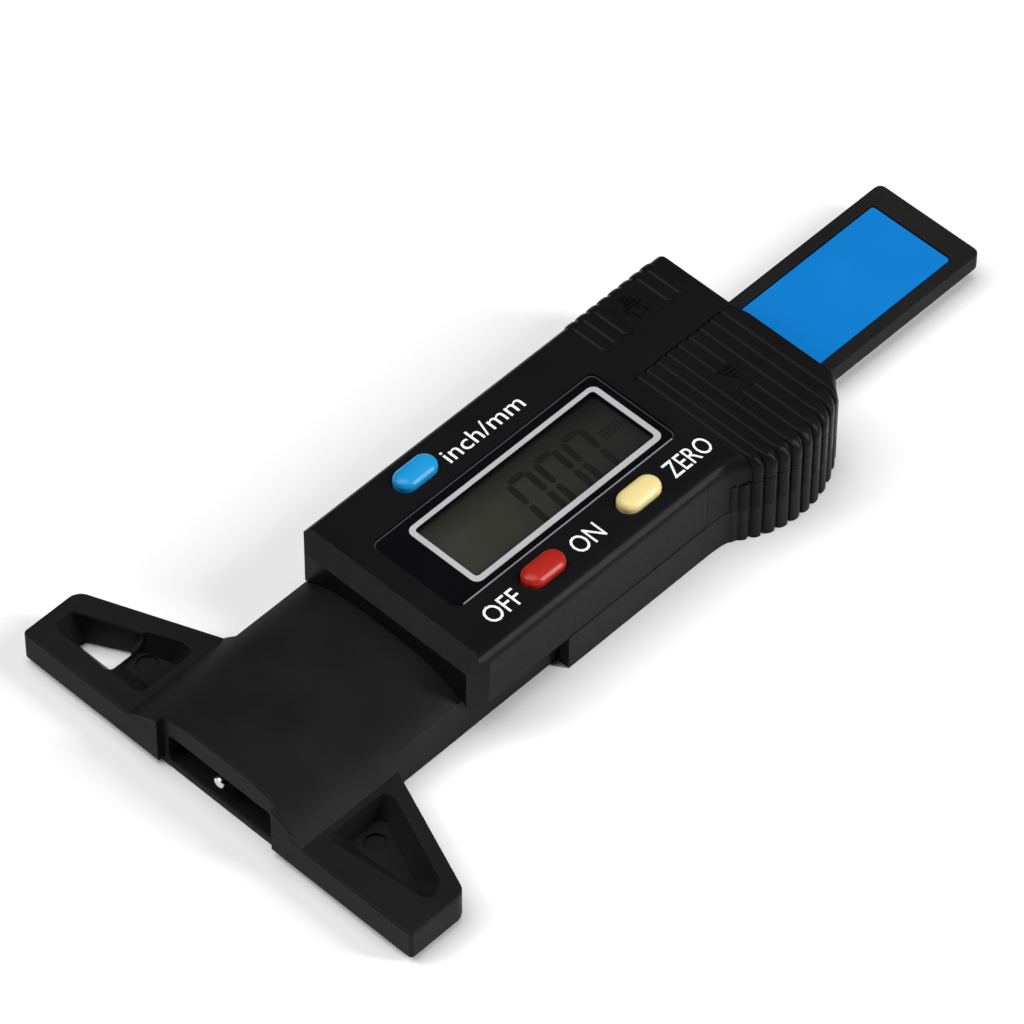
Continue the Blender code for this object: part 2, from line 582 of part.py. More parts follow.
def make_probe():
    outline = rectangle((-STRIP_HALF, STRIP_HALF), (BLOCK_START, STRIP_END), 0.6)
    carrier = prism("probe_carrier", outline, (STRIP_BOTTOM, STRIP_TOP), "Z", STEEL)
    unite(carrier, box("pin_block", (-BLOCK_HALF, BLOCK_HALF), (BLOCK_START, BLOCK_END),
                       (STRIP_BOTTOM, BLOCK_TOP)))
    cut(carrier, cylinder("pin_bore", PIN_RADIUS + 0.1, (0, PIN_HEIGHT),
                          (BLOCK_START - PAST, PIN_END + 0.1), "Y"))
    for name, x, y in rivet_places():
        cut(carrier, cylinder(name + "_bore", 0.75, (x, y), (-PAST, PAST * 2), sides=16))
    pin = cylinder("probe_pin", PIN_RADIUS, (0, PIN_HEIGHT), (PIN_TIP, PIN_END), "Y", STEEL, 24)
    chamfer(smooth(pin), 0.15)
    for name, x, y in rivet_places():
        profile = [(0, 1.88), (0.9, 1.88), (1.15, 1.72), (0.6, 1.7), (0.6, 0.05), (0, 0.05)]
        smooth(turned(name, profile, x, y, STEEL, sides=16))


def rivet_places():
    return [(name, x, y) for name, (x, y) in RIVETS.items()]


def make_cover_screws():
    for name, x, y in cover_screw_places():
        screw(name, x, y, 0.2, 1.1, 1.5, 0.75, 9.8)


def make_gib_spring():
    """A leaf along the beam's left edge, bowed so that its middle reaches towards the beam."""
    steps, thick = 10, 0.22
    start, finish = 70.0, 82.5
    rest = -BEAM_HALF - GUIDE_GAP_LEFT + FIT
    bow = GUIDE_GAP_LEFT - thick - 2 * FIT
    near, far = [], []
    for step in range(steps + 1):
        y = start + (finish - start) * step / steps
        x = rest + bow * math.sin(math.pi * step / steps)
        near.append((x + thick, y))
        far.append((x, y))
    smooth(prism("gib_spring", near + far[::-1], (BEAM_BOTTOM + 0.3, BEAM_TOP - 0.3), "Z", STEEL))


# --- electronics -------------------------------------------------------------------------
def make_boards():
    outline = rectangle((-BOARD_HALF, BOARD_HALF), BOARD_Y, 0.8)
    board = prism("main_board", outline, (BOARD_BOTTOM, BOARD_TOP), "Z", BOARD_GREEN)
    for name, x, y in board_screw_places():
        cut(board, cylinder(name + "_clearance", 0.75, (x, y), (0, HEAD_TOP), sides=16))
        under = BOARD_BOTTOM - FIT
        profile = [(0, 11.4), (0.5, 11.4), (0.5, under), (1.2, under), (1.2, 8.4), (0, 8.4)]
        smooth(turned(name, profile, x, y, STEEL, sides=16))
    box("controller_chip", CHIP_X, CHIP_Y, (BOARD_TOP + FIT, BOARD_TOP + FIT + CHIP_THICK), CHIP_BLACK)
    pickup = rectangle((-PICKUP_HALF, PICKUP_HALF), PICKUP_Y, 0.6)
    prism("pickup_board", pickup, (PICKUP_BOTTOM, PICKUP_TOP), "Z", BOARD_GREEN)
    box("board_link", LINK_X, LINK_Y, (PICKUP_TOP + FIT, BOARD_BOTTOM - FIT), CHIP_BLACK)
    for name, (x, y) in BUTTONS.items():
        foot, crown = BOARD_TOP + 0.05, BOARD_TOP + DOME_RISE
        profile = [(0, crown), (DOME_RADIUS / 2, crown - 0.05), (DOME_RADIUS, foot + 0.15),
                   (DOME_RADIUS, foot), (0, foot)]
        smooth(turned(name.replace("button", "switch_dome"), profile, x, y, GOLD, sides=20))


def make_display():
    glass_x = (WINDOW_X[0] + 0.5, WINDOW_X[1] - 0.5)
    glass_y = (WINDOW_Y[0] + 1.2, WINDOW_Y[1] - 1.0)
    box("display_glass", glass_x, glass_y, (GLASS_BOTTOM, GLASS_TOP), GLASS_GREY)
    for name, edge in (("connector_strip_left", glass_x[0] + STRIP_INSET),
                       ("connector_strip_right", glass_x[1] - STRIP_INSET - STRIP_WIDE)):
        box(name, (edge, edge + STRIP_WIDE), (glass_y[0] + 1, glass_y[1] - 1),
            (BOARD_TOP + 0.08, GLASS_BOTTOM - 0.08), RUBBER)
    outline = rectangle((WINDOW_X[0] + WINDOW_SEAT, WINDOW_X[1] - WINDOW_SEAT),
                        (WINDOW_Y[0] + WINDOW_SEAT, WINDOW_Y[1] - WINDOW_SEAT), WINDOW_CORNER - WINDOW_SEAT)
    prism("display_window", outline, (WINDOW_BOTTOM, WINDOW_TOP), "Z", WINDOW_BLACK)


def make_battery():
    low, high = BATTERY_BOTTOM, BATTERY_BOTTOM + BATTERY_THICK
    profile = [(0, high), (BATTERY_RADIUS - 0.3, high), (BATTERY_RADIUS, high - 0.3),
               (BATTERY_RADIUS, low + 0.5),
               (BATTERY_RADIUS - 0.6, low + 0.35), (BATTERY_RADIUS - 0.9, low), (0, low)]
    smooth(turned("button_cell", profile, BATTERY_X, BATTERY_Y, STEEL, sides=40))
    middle = (BATTERY_X, BATTERY_Y)
    lower = box("lower_contact", CONTACT_X, (BATTERY_Y - 1.5, BATTERY_Y + 1.5),
                (CONTACT_LOW, CONTACT_LOW + CONTACT_THICK), GOLD)
    unite(lower, cylinder("contact_disc", CONTACT_DISC, middle,
                          (CONTACT_LOW, CONTACT_LOW + CONTACT_THICK + 0.05), sides=20))
    side = box("side_contact", (CLIP_X, CLIP_X + CLIP_THICK), (BATTERY_Y - 3.5, BATTERY_Y + 3.5),
               (BAY_FLOOR + 0.6, CLIP_TOP), GOLD)
    unite(side, box("contact_finger", (CLIP_X, FINGER_END), (BATTERY_Y - 0.8, BATTERY_Y + 0.8),
                    (FINGER_HEIGHT, FINGER_HEIGHT + CLIP_THICK)))


# --- moving pieces -------------------------------------------------------------------------
def make_battery_cover():
    """Sliding cover: a top plate, a skirt that follows the bulge, a rear lip and a hook on the left."""
    rear = LID_REAR
    head_edge = rectangle((LID_LEFT, HEAD_HALF), (LID_FRONT, rear))
    lid = prism("battery_cover", head_edge, (LID_BOTTOM, HEAD_TOP), "Z", SHELL_PLASTIC)
    unite(lid, prism("lid_bulge", lid_arc(), (LID_SKIRT, HEAD_TOP)))
    cut(lid, prism("lid_inside", lid_arc_inside(), (LID_SKIRT - PAST, LID_BOTTOM)))
    inside = LID_BOTTOM + 0.2
    unite(lid, box("lid_rear_lip", (LID_LEFT, HEAD_HALF), (rear - LID_WALL, rear), (LID_SKIRT, inside)))
    unite(lid, box("lid_hook_stem", (LID_LEFT, LID_LEFT + 1.0), HOOK_SPAN, (HOOK_BOTTOM, inside)))
    unite(lid, box("lid_hook", (LID_LEFT - 1.9, LID_LEFT + 0.5), HOOK_SPAN, (HOOK_BOTTOM, HOOK_TOP)))
    return lid


def lid_arc():
    arc = [point for point in bulge() if point[1] >= LID_FRONT]
    front_x = bulge_x(LID_FRONT)
    inner = HEAD_HALF - 0.5
    return [(inner, LID_FRONT), (front_x, LID_FRONT)] + arc + [(inner, arc[-1][1])]


def lid_arc_inside():
    arc = [point for point in bulge(LID_WALL) if point[1] >= LID_FRONT + LID_WALL]
    inner = HEAD_HALF - 1.5
    last = LID_REAR - LID_WALL
    arc = [point for point in arc if point[1] <= last]
    front = LID_FRONT - PAST
    return [(inner, front), (arc[0][0], front)] + arc + [(arc[-1][0], last), (inner, last)]


def bulge_x(y):
    """How far out the bulge reaches at a given y."""
    rise = BULGE_OUT - HEAD_HALF
    chord = BULGE_END - BULGE_START
    radius = chord * chord / (8 * rise) + rise / 2
    return BULGE_OUT - radius + math.sqrt(radius ** 2 - (y - (BULGE_START + BULGE_END) / 2) ** 2)


def make_buttons():
    caps = []
    for name, (x, y) in BUTTONS.items():
        cap = prism(name, oval(BUTTON_LONG, BUTTON_WIDE, x, y), (BUTTON_FLANGE_BOTTOM, BUTTON_TOP), "Z",
                    BUTTON_COLOURS[name])
        half = BUTTON_WIDE / 2 - 0.1
        unite(cap, box(name + "_flange", (x - half, x + half),
                       (y - BUTTON_FLANGE_LONG / 2, y + BUTTON_FLANGE_LONG / 2),
                       (BUTTON_FLANGE_BOTTOM, BUTTON_FLANGE_TOP)))
        caps.append(cap)
    return caps


def carry(name, place, pieces, mover=None):
    """An empty on a joint's axis that its pieces are parented to."""
    empty = bpy.data.objects.new(name, None)
    empty.location = at(*place)
    empty.empty_display_size = 5 * MM
    PARTS.objects.link(empty)
    for piece in pieces:
        piece.parent = empty
        piece.matrix_parent_inverse = Matrix.Translation(-empty.location)
    if mover:
        empty.parent = mover
        empty.matrix_parent_inverse = Matrix.Translation(-mover.location)
    return empty


make_foot_frame()
make_base_plate()
make_base_screws()
make_beam()
fixed = set(PARTS.objects)
make_head_shell()
make_back_cover()
make_probe()
make_gib_spring()
make_cover_screws()
make_boards()
make_display()
make_battery()
head = carry("head_axis", (0, HEAD_FRONT, BEAM_TOP), [piece for piece in PARTS.objects if piece not in fixed])
lid = make_battery_cover()
carry("lid_axis", (LID_AXIS_X, (LID_FRONT + LID_REAR) / 2, HEAD_TOP), [lid], head)
for cap in make_buttons():
    x, y = BUTTONS[cap.name]
    carry(cap.name + "_axis", (x, y, BUTTON_TOP), [cap], head)
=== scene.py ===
"""Looks of the digital tread gauge: pieces, materials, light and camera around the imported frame."""
import json
import math

import bmesh
import bpy
from mathutils import Matrix, Vector


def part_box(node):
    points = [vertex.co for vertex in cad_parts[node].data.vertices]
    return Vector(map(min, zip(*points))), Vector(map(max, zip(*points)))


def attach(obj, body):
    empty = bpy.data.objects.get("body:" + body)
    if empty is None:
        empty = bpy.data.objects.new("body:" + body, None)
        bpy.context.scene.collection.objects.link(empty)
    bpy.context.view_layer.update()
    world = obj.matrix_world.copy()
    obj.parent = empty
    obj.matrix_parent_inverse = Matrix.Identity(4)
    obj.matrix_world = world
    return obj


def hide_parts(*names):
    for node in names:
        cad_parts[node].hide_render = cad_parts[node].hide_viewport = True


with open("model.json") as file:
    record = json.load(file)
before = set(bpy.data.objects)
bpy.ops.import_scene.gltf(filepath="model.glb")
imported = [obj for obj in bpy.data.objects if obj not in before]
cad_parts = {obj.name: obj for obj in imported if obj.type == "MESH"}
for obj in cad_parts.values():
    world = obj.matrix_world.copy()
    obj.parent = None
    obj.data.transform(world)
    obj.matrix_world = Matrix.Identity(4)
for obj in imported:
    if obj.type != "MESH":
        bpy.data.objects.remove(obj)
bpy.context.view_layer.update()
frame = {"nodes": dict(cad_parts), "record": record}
NODES = frame["nodes"]
MM = 0.001
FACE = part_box("foot_frame")[0].y      # the foot's front face; y below counts back from it


def at(x, y, z):
    """A point given in millimetres: across, back from the foot's face, and up."""
    return Vector((x * MM, FACE + y * MM, z * MM))


def span(node):
    """A CAD node's box in the same millimetres: (x low, x high), (y low, y high), (z low, z high)."""
    low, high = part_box(node)
    origin = (0, FACE, 0)
    return [((low[i] - origin[i]) / MM, (high[i] - origin[i]) / MM) for i in range(3)]


# --- camera ----------------------------------------------------------------------------------
AZIMUTH, ELEVATION, ROLL = math.radians(43.916), math.radians(49.721), math.radians(0.146)
DISTANCE, LENS, SENSOR = 771.85, 244.33, 36.0
AIM, AIM_RIGHT, AIM_UP = (0, 45, 5), 0.993, 4.511


def make_camera():
    back = Vector((math.sin(AZIMUTH) * math.cos(ELEVATION), -math.cos(AZIMUTH) * math.cos(ELEVATION),
                   math.sin(ELEVATION)))
    level = Vector((math.cos(AZIMUTH), math.sin(AZIMUTH), 0))
    above = back.cross(level)
    right = level * math.cos(ROLL) + above * math.sin(ROLL)
    up = above * math.cos(ROLL) - level * math.sin(ROLL)
    data = bpy.data.cameras.new("camera")
    data.lens, data.sensor_width = LENS, SENSOR
    data.clip_start, data.clip_end = 0.05, 20.0
    camera = bpy.data.objects.new("camera", data)
    bpy.context.scene.collection.objects.link(camera)
    place = at(*AIM) + (back * DISTANCE + right * AIM_RIGHT + up * AIM_UP) * MM
    camera.matrix_world = Matrix.Translation(place) @ Matrix((right, up, back)).transposed().to_4x4()
    bpy.context.scene.camera = camera


make_camera()


# --- materials -------------------------------------------------------------------------------
class Nodes:
    """A short way to write a material's node tree."""

    def __init__(self, name):
        self.material = bpy.data.materials.new(name)
        self.material.use_nodes = True
        self.tree = self.material.node_tree
        self.shader = self.tree.nodes["Principled BSDF"]
        self.place = self.tree.nodes.new("ShaderNodeTexCoord").outputs["Object"]

    def link(self, source, target):
        self.tree.links.new(source, target)

    def noise(self, size, detail=4.0, vector=None):
        """Noise whose features are about that many millimetres across."""
        node = self.tree.nodes.new("ShaderNodeTexNoise")
        node.inputs["Scale"].default_value = 1.0 / (size * MM)
        node.inputs["Detail"].default_value = detail
        node.inputs["Roughness"].default_value = 0.55
        self.link(vector or self.place, node.inputs["Vector"])
        return node.outputs["Fac"]

    def ramp(self, source, stops):
        node = self.tree.nodes.new("ShaderNodeValToRGB")
        ramp = node.color_ramp
        for index, (where, colour) in enumerate(stops):
            stop = ramp.elements[index] if index < 2 else ramp.elements.new(where)
            stop.position = where
            stop.color = (*colour, 1.0)
        self.link(source, node.inputs["Fac"])
        return node.outputs["Color"]

    def spread(self, source, low, high):
        """A number that runs from low to high as the source runs from 0.3 to 0.7."""
        node = self.tree.nodes.new("ShaderNodeMapRange")
        for name, value in (("From Min", 0.3), ("From Max", 0.7), ("To Min", low), ("To Max", high)):
            node.inputs[name].default_value = value
        self.link(source, node.inputs["Value"])
        return node.outputs["Result"]

    def mix(self, factor, first, second):
        node = self.tree.nodes.new("ShaderNodeMix")
        node.data_type = "RGBA"
        for value, socket in ((factor, node.inputs[0]), (first, node.inputs[6]), (second, node.inputs[7])):
            if hasattr(value, "links"):
                self.link(value, socket)
            else:
                socket.default_value = value if isinstance(value, float) else (*value, 1.0)
        return node.outputs[2]

    def bump(self, heights):
        """Bumps laid over each other: (source, height in millimetres, strength)."""
        normal = None
        for source, height, strength in heights:
            node = self.tree.nodes.new("ShaderNodeBump")
            node.inputs["Distance"].default_value = height * MM
            node.inputs["Strength"].default_value = strength
            self.link(source, node.inputs["Height"])
            if normal:
                self.link(normal, node.inputs["Normal"])
            normal = node.outputs["Normal"]
        self.link(normal, self.shader.inputs["Normal"])


CLOUD = 9.0              # the size of the clouds in a moulding's colour, in millimetres


def plastic(name, dark, light, rough, grain=0.22, depth=0.012, specular=0.045):
    """Moulded plastic: a fine and a coarser grain, and faint clouds in colour and gloss."""
    n = Nodes(name)
    fine, broad = n.noise(grain, 3.0), n.noise(CLOUD, 3.0)
    n.link(n.mix(n.spread(broad, 0.0, 1.0), dark, light), n.shader.inputs["Base Color"])
    n.link(n.spread(n.noise(CLOUD * 0.4), rough - 0.02, rough + 0.03), n.shader.inputs["Roughness"])
    n.shader.inputs["Specular IOR Level"].default_value = specular
    n.bump([(fine, depth, 0.6), (n.noise(grain * 6, 2.0), depth * 2, 0.25)])
    return n.material


def metal(name, colour, rough, grain=(0.1, 4.0, 0.1)):
    """Drawn or ground metal: streaks along the long side of its grain."""
    n = Nodes(name)
    mapping = n.tree.nodes.new("ShaderNodeMapping")
    mapping.inputs["Scale"].default_value = [1 / g for g in grain]
    n.link(n.place, mapping.inputs["Vector"])
    streaks = n.noise(1.0, 3.0, vector=mapping.outputs["Vector"])
    n.shader.inputs["Metallic"].default_value = 1.0
    dark = [c * 0.82 for c in colour]
    n.link(n.mix(n.spread(streaks, 0.0, 1.0), dark, colour), n.shader.inputs["Base Color"])
    n.link(n.spread(streaks, rough - 0.05, rough + 0.1), n.shader.inputs["Roughness"])
    n.bump([(streaks, 0.002, 0.5)])
    return n.material


SKINS = {
    "foot": plastic("foot_plastic", (0.0085, 0.0085, 0.009), (0.012, 0.012, 0.0125), 0.42, grain=0.16),
    "plate": plastic("plate_plastic", (0.010, 0.010, 0.011), (0.014, 0.014, 0.015), 0.5),
    "beam": plastic("beam_plastic", (0.0100, 0.0095, 0.0097), (0.0145, 0.0138, 0.0140), 0.5,
                    grain=0.2, depth=0.016),
    "shell": plastic("shell_plastic", (0.0064, 0.0064, 0.0070), (0.0080, 0.0080, 0.0086), 0.27,
                     grain=0.15, depth=0.005),
    "cover": plastic("cover_plastic", (0.013, 0.013, 0.0135), (0.017, 0.017, 0.0175), 0.45),
    "blue": plastic("label_film", (0.004, 0.165, 0.50), (0.006, 0.18, 0.54), 0.38, grain=0.5, depth=0.006),
    "board": plastic("circuit_board", (0.01, 0.10, 0.045), (0.015, 0.14, 0.06), 0.35, grain=0.6),
    "window": plastic("window_black", (0.003, 0.003, 0.0035), (0.0045, 0.0045, 0.005), 0.12, depth=0.001),
    "rubber": plastic("connector_rubber", (0.05, 0.05, 0.06), (0.4, 0.4, 0.42), 0.6),
    "chip": plastic("chip_epoxy", (0.006, 0.006, 0.006), (0.012, 0.012, 0.012), 0.35),
    "gold": metal("contact_metal", (0.85, 0.62, 0.28), 0.25),
    "cell": metal("cell_steel", (0.72, 0.73, 0.74), 0.3, (3.0, 3.0, 3.0)),
    "pin": metal("pin_steel", (0.78, 0.77, 0.75), 0.22),
    "spring": metal("spring_steel", (0.62, 0.62, 0.63), 0.3),
    "screw": metal("screw_steel", (0.35, 0.35, 0.37), 0.35, (0.3, 0.3, 0.3)),
    "press_blue": plastic("button_blue", (0.008, 0.25, 0.56), (0.012, 0.28, 0.60), 0.3,
                          depth=0.004, specular=0.3),
    "press_red": plastic("button_red", (0.36, 0.015, 0.010), (0.40, 0.020, 0.013), 0.3,
                         depth=0.004, specular=0.3),
    "press_yellow": plastic("button_yellow", (0.74, 0.61, 0.27), (0.78, 0.645, 0.30), 0.32,
                            depth=0.004, specular=0.3),
    "segment": plastic("display_segment", (0.011, 0.011, 0.010), (0.014, 0.014, 0.012), 0.3, depth=0.001),
    "silver": plastic("silver_print", (0.40, 0.40, 0.43), (0.46, 0.46, 0.49), 0.4, grain=0.3, depth=0.002),
    # the pane's own edge, made lighter grey with a painted highlight
    "pane_edge_highlight": plastic("pane_edge_highlight", (0.055, 0.055, 0.058), (0.07, 0.07, 0.074), 0.3, depth=0.002),
    # painted highlight: a light grey colour standing for the light caught by the display opening's edge
    "glint": plastic("painted_edge_highlight", (0.20, 0.20, 0.205), (0.26, 0.26, 0.265), 0.3, depth=0.002),
    "paint": plastic("white_print", (0.80, 0.80, 0.80), (0.90, 0.90, 0.90), 0.5, grain=0.1, depth=0.004),
}


def display_face():
    """The display: grey-green, with painted light and shade: lighter at the front, darker towards the rear, and
    painted shade towards the left edge.
    """
    n = Nodes("display_face")
    split = n.tree.nodes.new("ShaderNodeSeparateXYZ")
    n.link(n.place, split.inputs[0])
    (left, _), (front, rear), _ = span("display_glass")

    def run(socket, start, finish):
        node = n.tree.nodes.new("ShaderNodeMapRange")
        node.inputs["From Min"].default_value, node.inputs["From Max"].default_value = start, finish
        n.link(socket, node.inputs["Value"])
        return node.outputs["Result"]

    along = run(split.outputs["Y"], FACE + (front + 6) * MM, FACE + (rear - 2) * MM)
    across = run(split.outputs["X"], (left + 1.5) * MM, (left + 5) * MM)
    # painted light falloff: the colour runs lighter at the front and darker towards the rear
    base = n.ramp(along, [(0.0, (0.033, 0.034, 0.0275)), (0.45, (0.0245, 0.0245, 0.0205)),
                          (1.0, (0.015, 0.015, 0.0135))])
    # painted shade: the colour darkens towards the display's left edge
    dark = n.mix(across, (0.45, 0.45, 0.42), (1.0, 1.0, 1.0))
    node = n.tree.nodes.new("ShaderNodeMix")
    node.data_type, node.blend_type = "RGBA", "MULTIPLY"
    node.inputs[0].default_value = 1.0
    n.link(base, node.inputs[6])
    n.link(dark, node.inputs[7])
    n.link(node.outputs[2], n.shader.inputs["Base Color"])
    n.link(n.spread(n.noise(3.0), 0.28, 0.36), n.shader.inputs["Roughness"])
    n.shader.inputs["Specular IOR Level"].default_value = 0.2
    n.bump([(n.noise(0.2, 2.0), 0.002, 0.4)])
    return n.material


SKINS["lcd"] = display_face()
SLOT_SKIN = {
    "frame_plastic": "foot", "plate_plastic": "plate", "beam_plastic": "beam", "shell_plastic": "shell",
    "cover_plastic": "cover", "label_film": "blue", "circuit_board": "board", "window_pane": "window",
    "connector_rubber": "rubber", "chip_epoxy": "chip", "contact_metal": "gold",
    "cell_steel": "cell", "pin_steel": "pin", "spring_steel": "spring", "screw_steel": "screw",
    "button_blue": "press_blue", "button_red": "press_red", "button_yellow": "press_yellow",
}
NODE_SLOT = {row["node"]: row["material_slot"] for row in frame["record"]["subparts"]}


# --- light and floor -------------------------------------------------------------------------
FLOOR_DROP = 0.00002     # keeps the floor just clear of the gauge's underside


def area_light(name, place, size, power):
    """A rectangular panel that faces the object."""
    data = bpy.data.lights.new(name, "AREA")
    data.shape, data.size, data.size_y = "RECTANGLE", size[0], size[1]
    data.energy = power
    lamp = bpy.data.objects.new(name, data)
    lamp.location = Vector(place)
    lamp.rotation_euler = (-Vector(place)).to_track_quat("-Z", "Y").to_euler()
    bpy.context.scene.collection.objects.link(lamp)


def make_studio():
    world = bpy.data.worlds.new("studio")
    world.use_nodes = True
    world.node_tree.nodes["Background"].inputs["Color"].default_value = (1, 1, 1, 1)
    world.node_tree.nodes["Background"].inputs["Strength"].default_value = 0.10
    sun = bpy.data.lights.new("sky_panel", "SUN")
    sun.energy, sun.angle = 2.0, math.radians(50)
    lamp = bpy.data.objects.new("sky_panel", sun)
    lamp.rotation_euler = (math.radians(9), math.radians(-7), 0)
    bpy.context.scene.collection.objects.link(lamp)
    area_light("rear_right_panel", (0.763, 0.466, 0.448), (0.22, 0.90), 10.0)
    area_light("front_left_panel", (-0.448, -0.543, 0.71), (0.4, 0.4), 3.0)
    mesh = bpy.data.meshes.new("floor")
    half = 3.0
    corners = [(-half, -half, 0), (half, -half, 0), (half, half, 0), (-half, half, 0)]
    mesh.from_pydata(corners, [], [(0, 1, 2, 3)])
    floor = bpy.data.objects.new("floor", mesh)
    floor.location.z = -FLOOR_DROP
    bpy.context.scene.collection.objects.link(floor)
    n = Nodes("floor_paper")
    n.link(n.mix(n.spread(n.noise(40.0, 2.0), 0.0, 1.0), (0.93, 0.93, 0.93), (0.95, 0.95, 0.95)),
           n.shader.inputs["Base Color"])
    n.shader.inputs["Roughness"].default_value = 0.9
    floor.data.materials.append(n.material)
    bpy.context.scene.view_settings.view_transform = "Standard"


make_studio()


# --- mesh helpers ------------------------------------------------------------------------------
REPLACED = set()         # the CAD nodes that a piece stands for


def skin_of(node):
    return SKINS[SLOT_SKIN[NODE_SLOT[node]]]


def settle(thing, angle=32):
    """Smooth shading except across edges sharper than the angle."""
    thing.data.shade_smooth()
    thing.data.set_sharp_from_angle(angle=math.radians(angle))
    return thing


def piece(name, bm, skin=None, angle=32):
    """An object from a bmesh in millimetres."""
    bmesh.ops.recalc_face_normals(bm, faces=bm.faces)
    for vertex in bm.verts:
        vertex.co = at(*vertex.co)
    mesh = bpy.data.meshes.new(name)
    bm.to_mesh(mesh)
    bm.free()
    if skin:
        mesh.materials.append(skin)
    thing = bpy.data.objects.new(name, mesh)
    bpy.context.scene.collection.objects.link(thing)
    return settle(thing, angle)


def loft(bm, loops):
    """Skins the closed loops one after another and caps both ends."""
    rings = [[bm.verts.new(point) for point in loop] for loop in loops]
    for first, second in zip(rings, rings[1:]):
        count = len(first)
        for i in range(count):
            j = (i + 1) % count
            bm.faces.new((first[i], first[j], second[j], second[i]))
    bm.faces.new(rings[0][::-1])
    bm.faces.new(rings[-1])
    return bm


def lay(outline, level, axis="Z"):
    """A flat outline placed at a level on an axis: Z takes (x, y), Y takes (x, z), X takes (y, z)."""
    if axis == "Z":
        return [(a, b, level) for a, b in outline]
    if axis == "Y":
        return [(a, level, b) for a, b in outline]
    return [(level, a, b) for a, b in outline]


def prism(name, outline, low, high, axis="Z", skin=None):
    """A straight solid with the outline as its section."""
    return piece(name, loft(bmesh.new(), [lay(outline, low, axis), lay(outline, high, axis)]), skin)


def rounded(corners, radii):
    """The outline with each corner turned by an arc; radii is one number or one for each corner."""
    outline, count, steps = [], len(corners), 5
    for index, corner in enumerate(corners):
        radius = radii[index] if isinstance(radii, (list, tuple)) else radii
        here = Vector(corner)
        back = (Vector(corners[index - 1]) - here).normalized()
        ahead = (Vector(corners[(index + 1) % count]) - here).normalized()
        half = back.angle(ahead) / 2
        centre = here + (back + ahead).normalized() * (radius / math.sin(half))
        start = here + back * (radius / math.tan(half)) - centre
        sweep = start.angle_signed(here + ahead * (radius / math.tan(half)) - centre)
        for step in range(steps + 1):
            outline.append(tuple(centre + Matrix.Rotation(-sweep * step / steps, 2) @ start))
    return outline


def rectangle(xs, ys, radius=0.0):
    corners = [(xs[0], ys[0]), (xs[1], ys[0]), (xs[1], ys[1]), (xs[0], ys[1])]
    return rounded(corners, radius) if radius else corners


def grown(outline, amount):
    """The outline moved outwards; it runs counter-clockwise."""
    result, count = [], len(outline)
    for i, point in enumerate(outline):
        here = Vector(point)
        before, after = here - Vector(outline[i - 1]), Vector(outline[(i + 1) % count]) - here
        sides = [Vector((d.y, -d.x)).normalized() for d in (before, after)]
        middle = (sides[0] + sides[1]).normalized()
        result.append(tuple(here + middle * (amount / max(0.5, middle.dot(sides[0])))))
    return result


def bake(thing):
    """Applies a piece's modifiers to its mesh."""
    graph = bpy.context.evaluated_depsgraph_get()
    mesh = bpy.data.meshes.new_from_object(thing.evaluated_get(graph))
    thing.modifiers.clear()
    thing.data = mesh
    return thing


def broken(thing, width, segments=3, angle=40, spared=None):
    """Breaks the sharp edges, apart from those at the spared height."""
    edge = thing.modifiers.new("edge", "BEVEL")
    edge.width, edge.segments, edge.angle_limit = width * MM, segments, math.radians(angle)
    edge.limit_method = "ANGLE"
    if spared is not None:
        edge.limit_method = "WEIGHT"
        bm = bmesh.new()
        bm.from_mesh(thing.data)
        weight = bm.edges.layers.float.new("bevel_weight_edge")
        for item in bm.edges:
            sharp = item.is_manifold and item.calc_face_angle(0) > math.radians(angle)
            level = all(abs(vertex.co.z / MM - spared) < 0.1 for vertex in item.verts)
            item[weight] = 1.0 if sharp and not level else 0.0
        bm.to_mesh(thing.data)
        bm.free()
    return settle(bake(thing))


def combine(thing, tools, operation):
    """Applies the tools to the piece one after another, and cleans slivers out of the result."""
    for tool in tools:
        step = thing.modifiers.new("step", "BOOLEAN")
        step.operation, step.solver, step.object = operation, "EXACT", tool
    bake(thing)
    for tool in tools:
        bpy.data.objects.remove(tool, do_unlink=True)
    bm = bmesh.new()
    bm.from_mesh(thing.data)
    bmesh.ops.remove_doubles(bm, verts=bm.verts, dist=0.012 * MM)
    bmesh.ops.dissolve_degenerate(bm, edges=bm.edges, dist=0.002 * MM)
    bmesh.ops.holes_fill(bm, edges=[edge for edge in bm.edges if edge.is_boundary])
    bm.to_mesh(thing.data)
    bm.free()
    return settle(thing)


def cut(thing, *tools):
    return combine(thing, tools, "DIFFERENCE")


def unite(thing, *tools):
    return combine(thing, tools, "UNION")


def flatten(thing):
    """Welds a CAD mesh and makes its flat faces whole, by modifiers."""
    weld = thing.modifiers.new("weld", "WELD")
    weld.merge_threshold = 0.002 * MM
    flat = thing.modifiers.new("flat", "DECIMATE")
    flat.decimate_type, flat.angle_limit = "DISSOLVE", math.radians(1.0)


def copy_of(node, name):
    """A new piece with the shape of a CAD node, welded and with its flat faces whole."""
    thing = bpy.data.objects.new(name, NODES[node].data.copy())
    bpy.context.scene.collection.objects.link(thing)
    thing.data.materials.clear()
    thing.data.materials.append(skin_of(node))
    flatten(thing)
    return settle(bake(thing))


def stands_for(thing, body, *nodes):
    """Lets a piece ride on a body and take the place of CAD nodes."""
    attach(thing, body)
    if nodes:
        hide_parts(*nodes)
    REPLACED.update(nodes)
    even = thing.modifiers.new("even", "WEIGHTED_NORMAL")
    even.keep_sharp, even.weight = True, 80


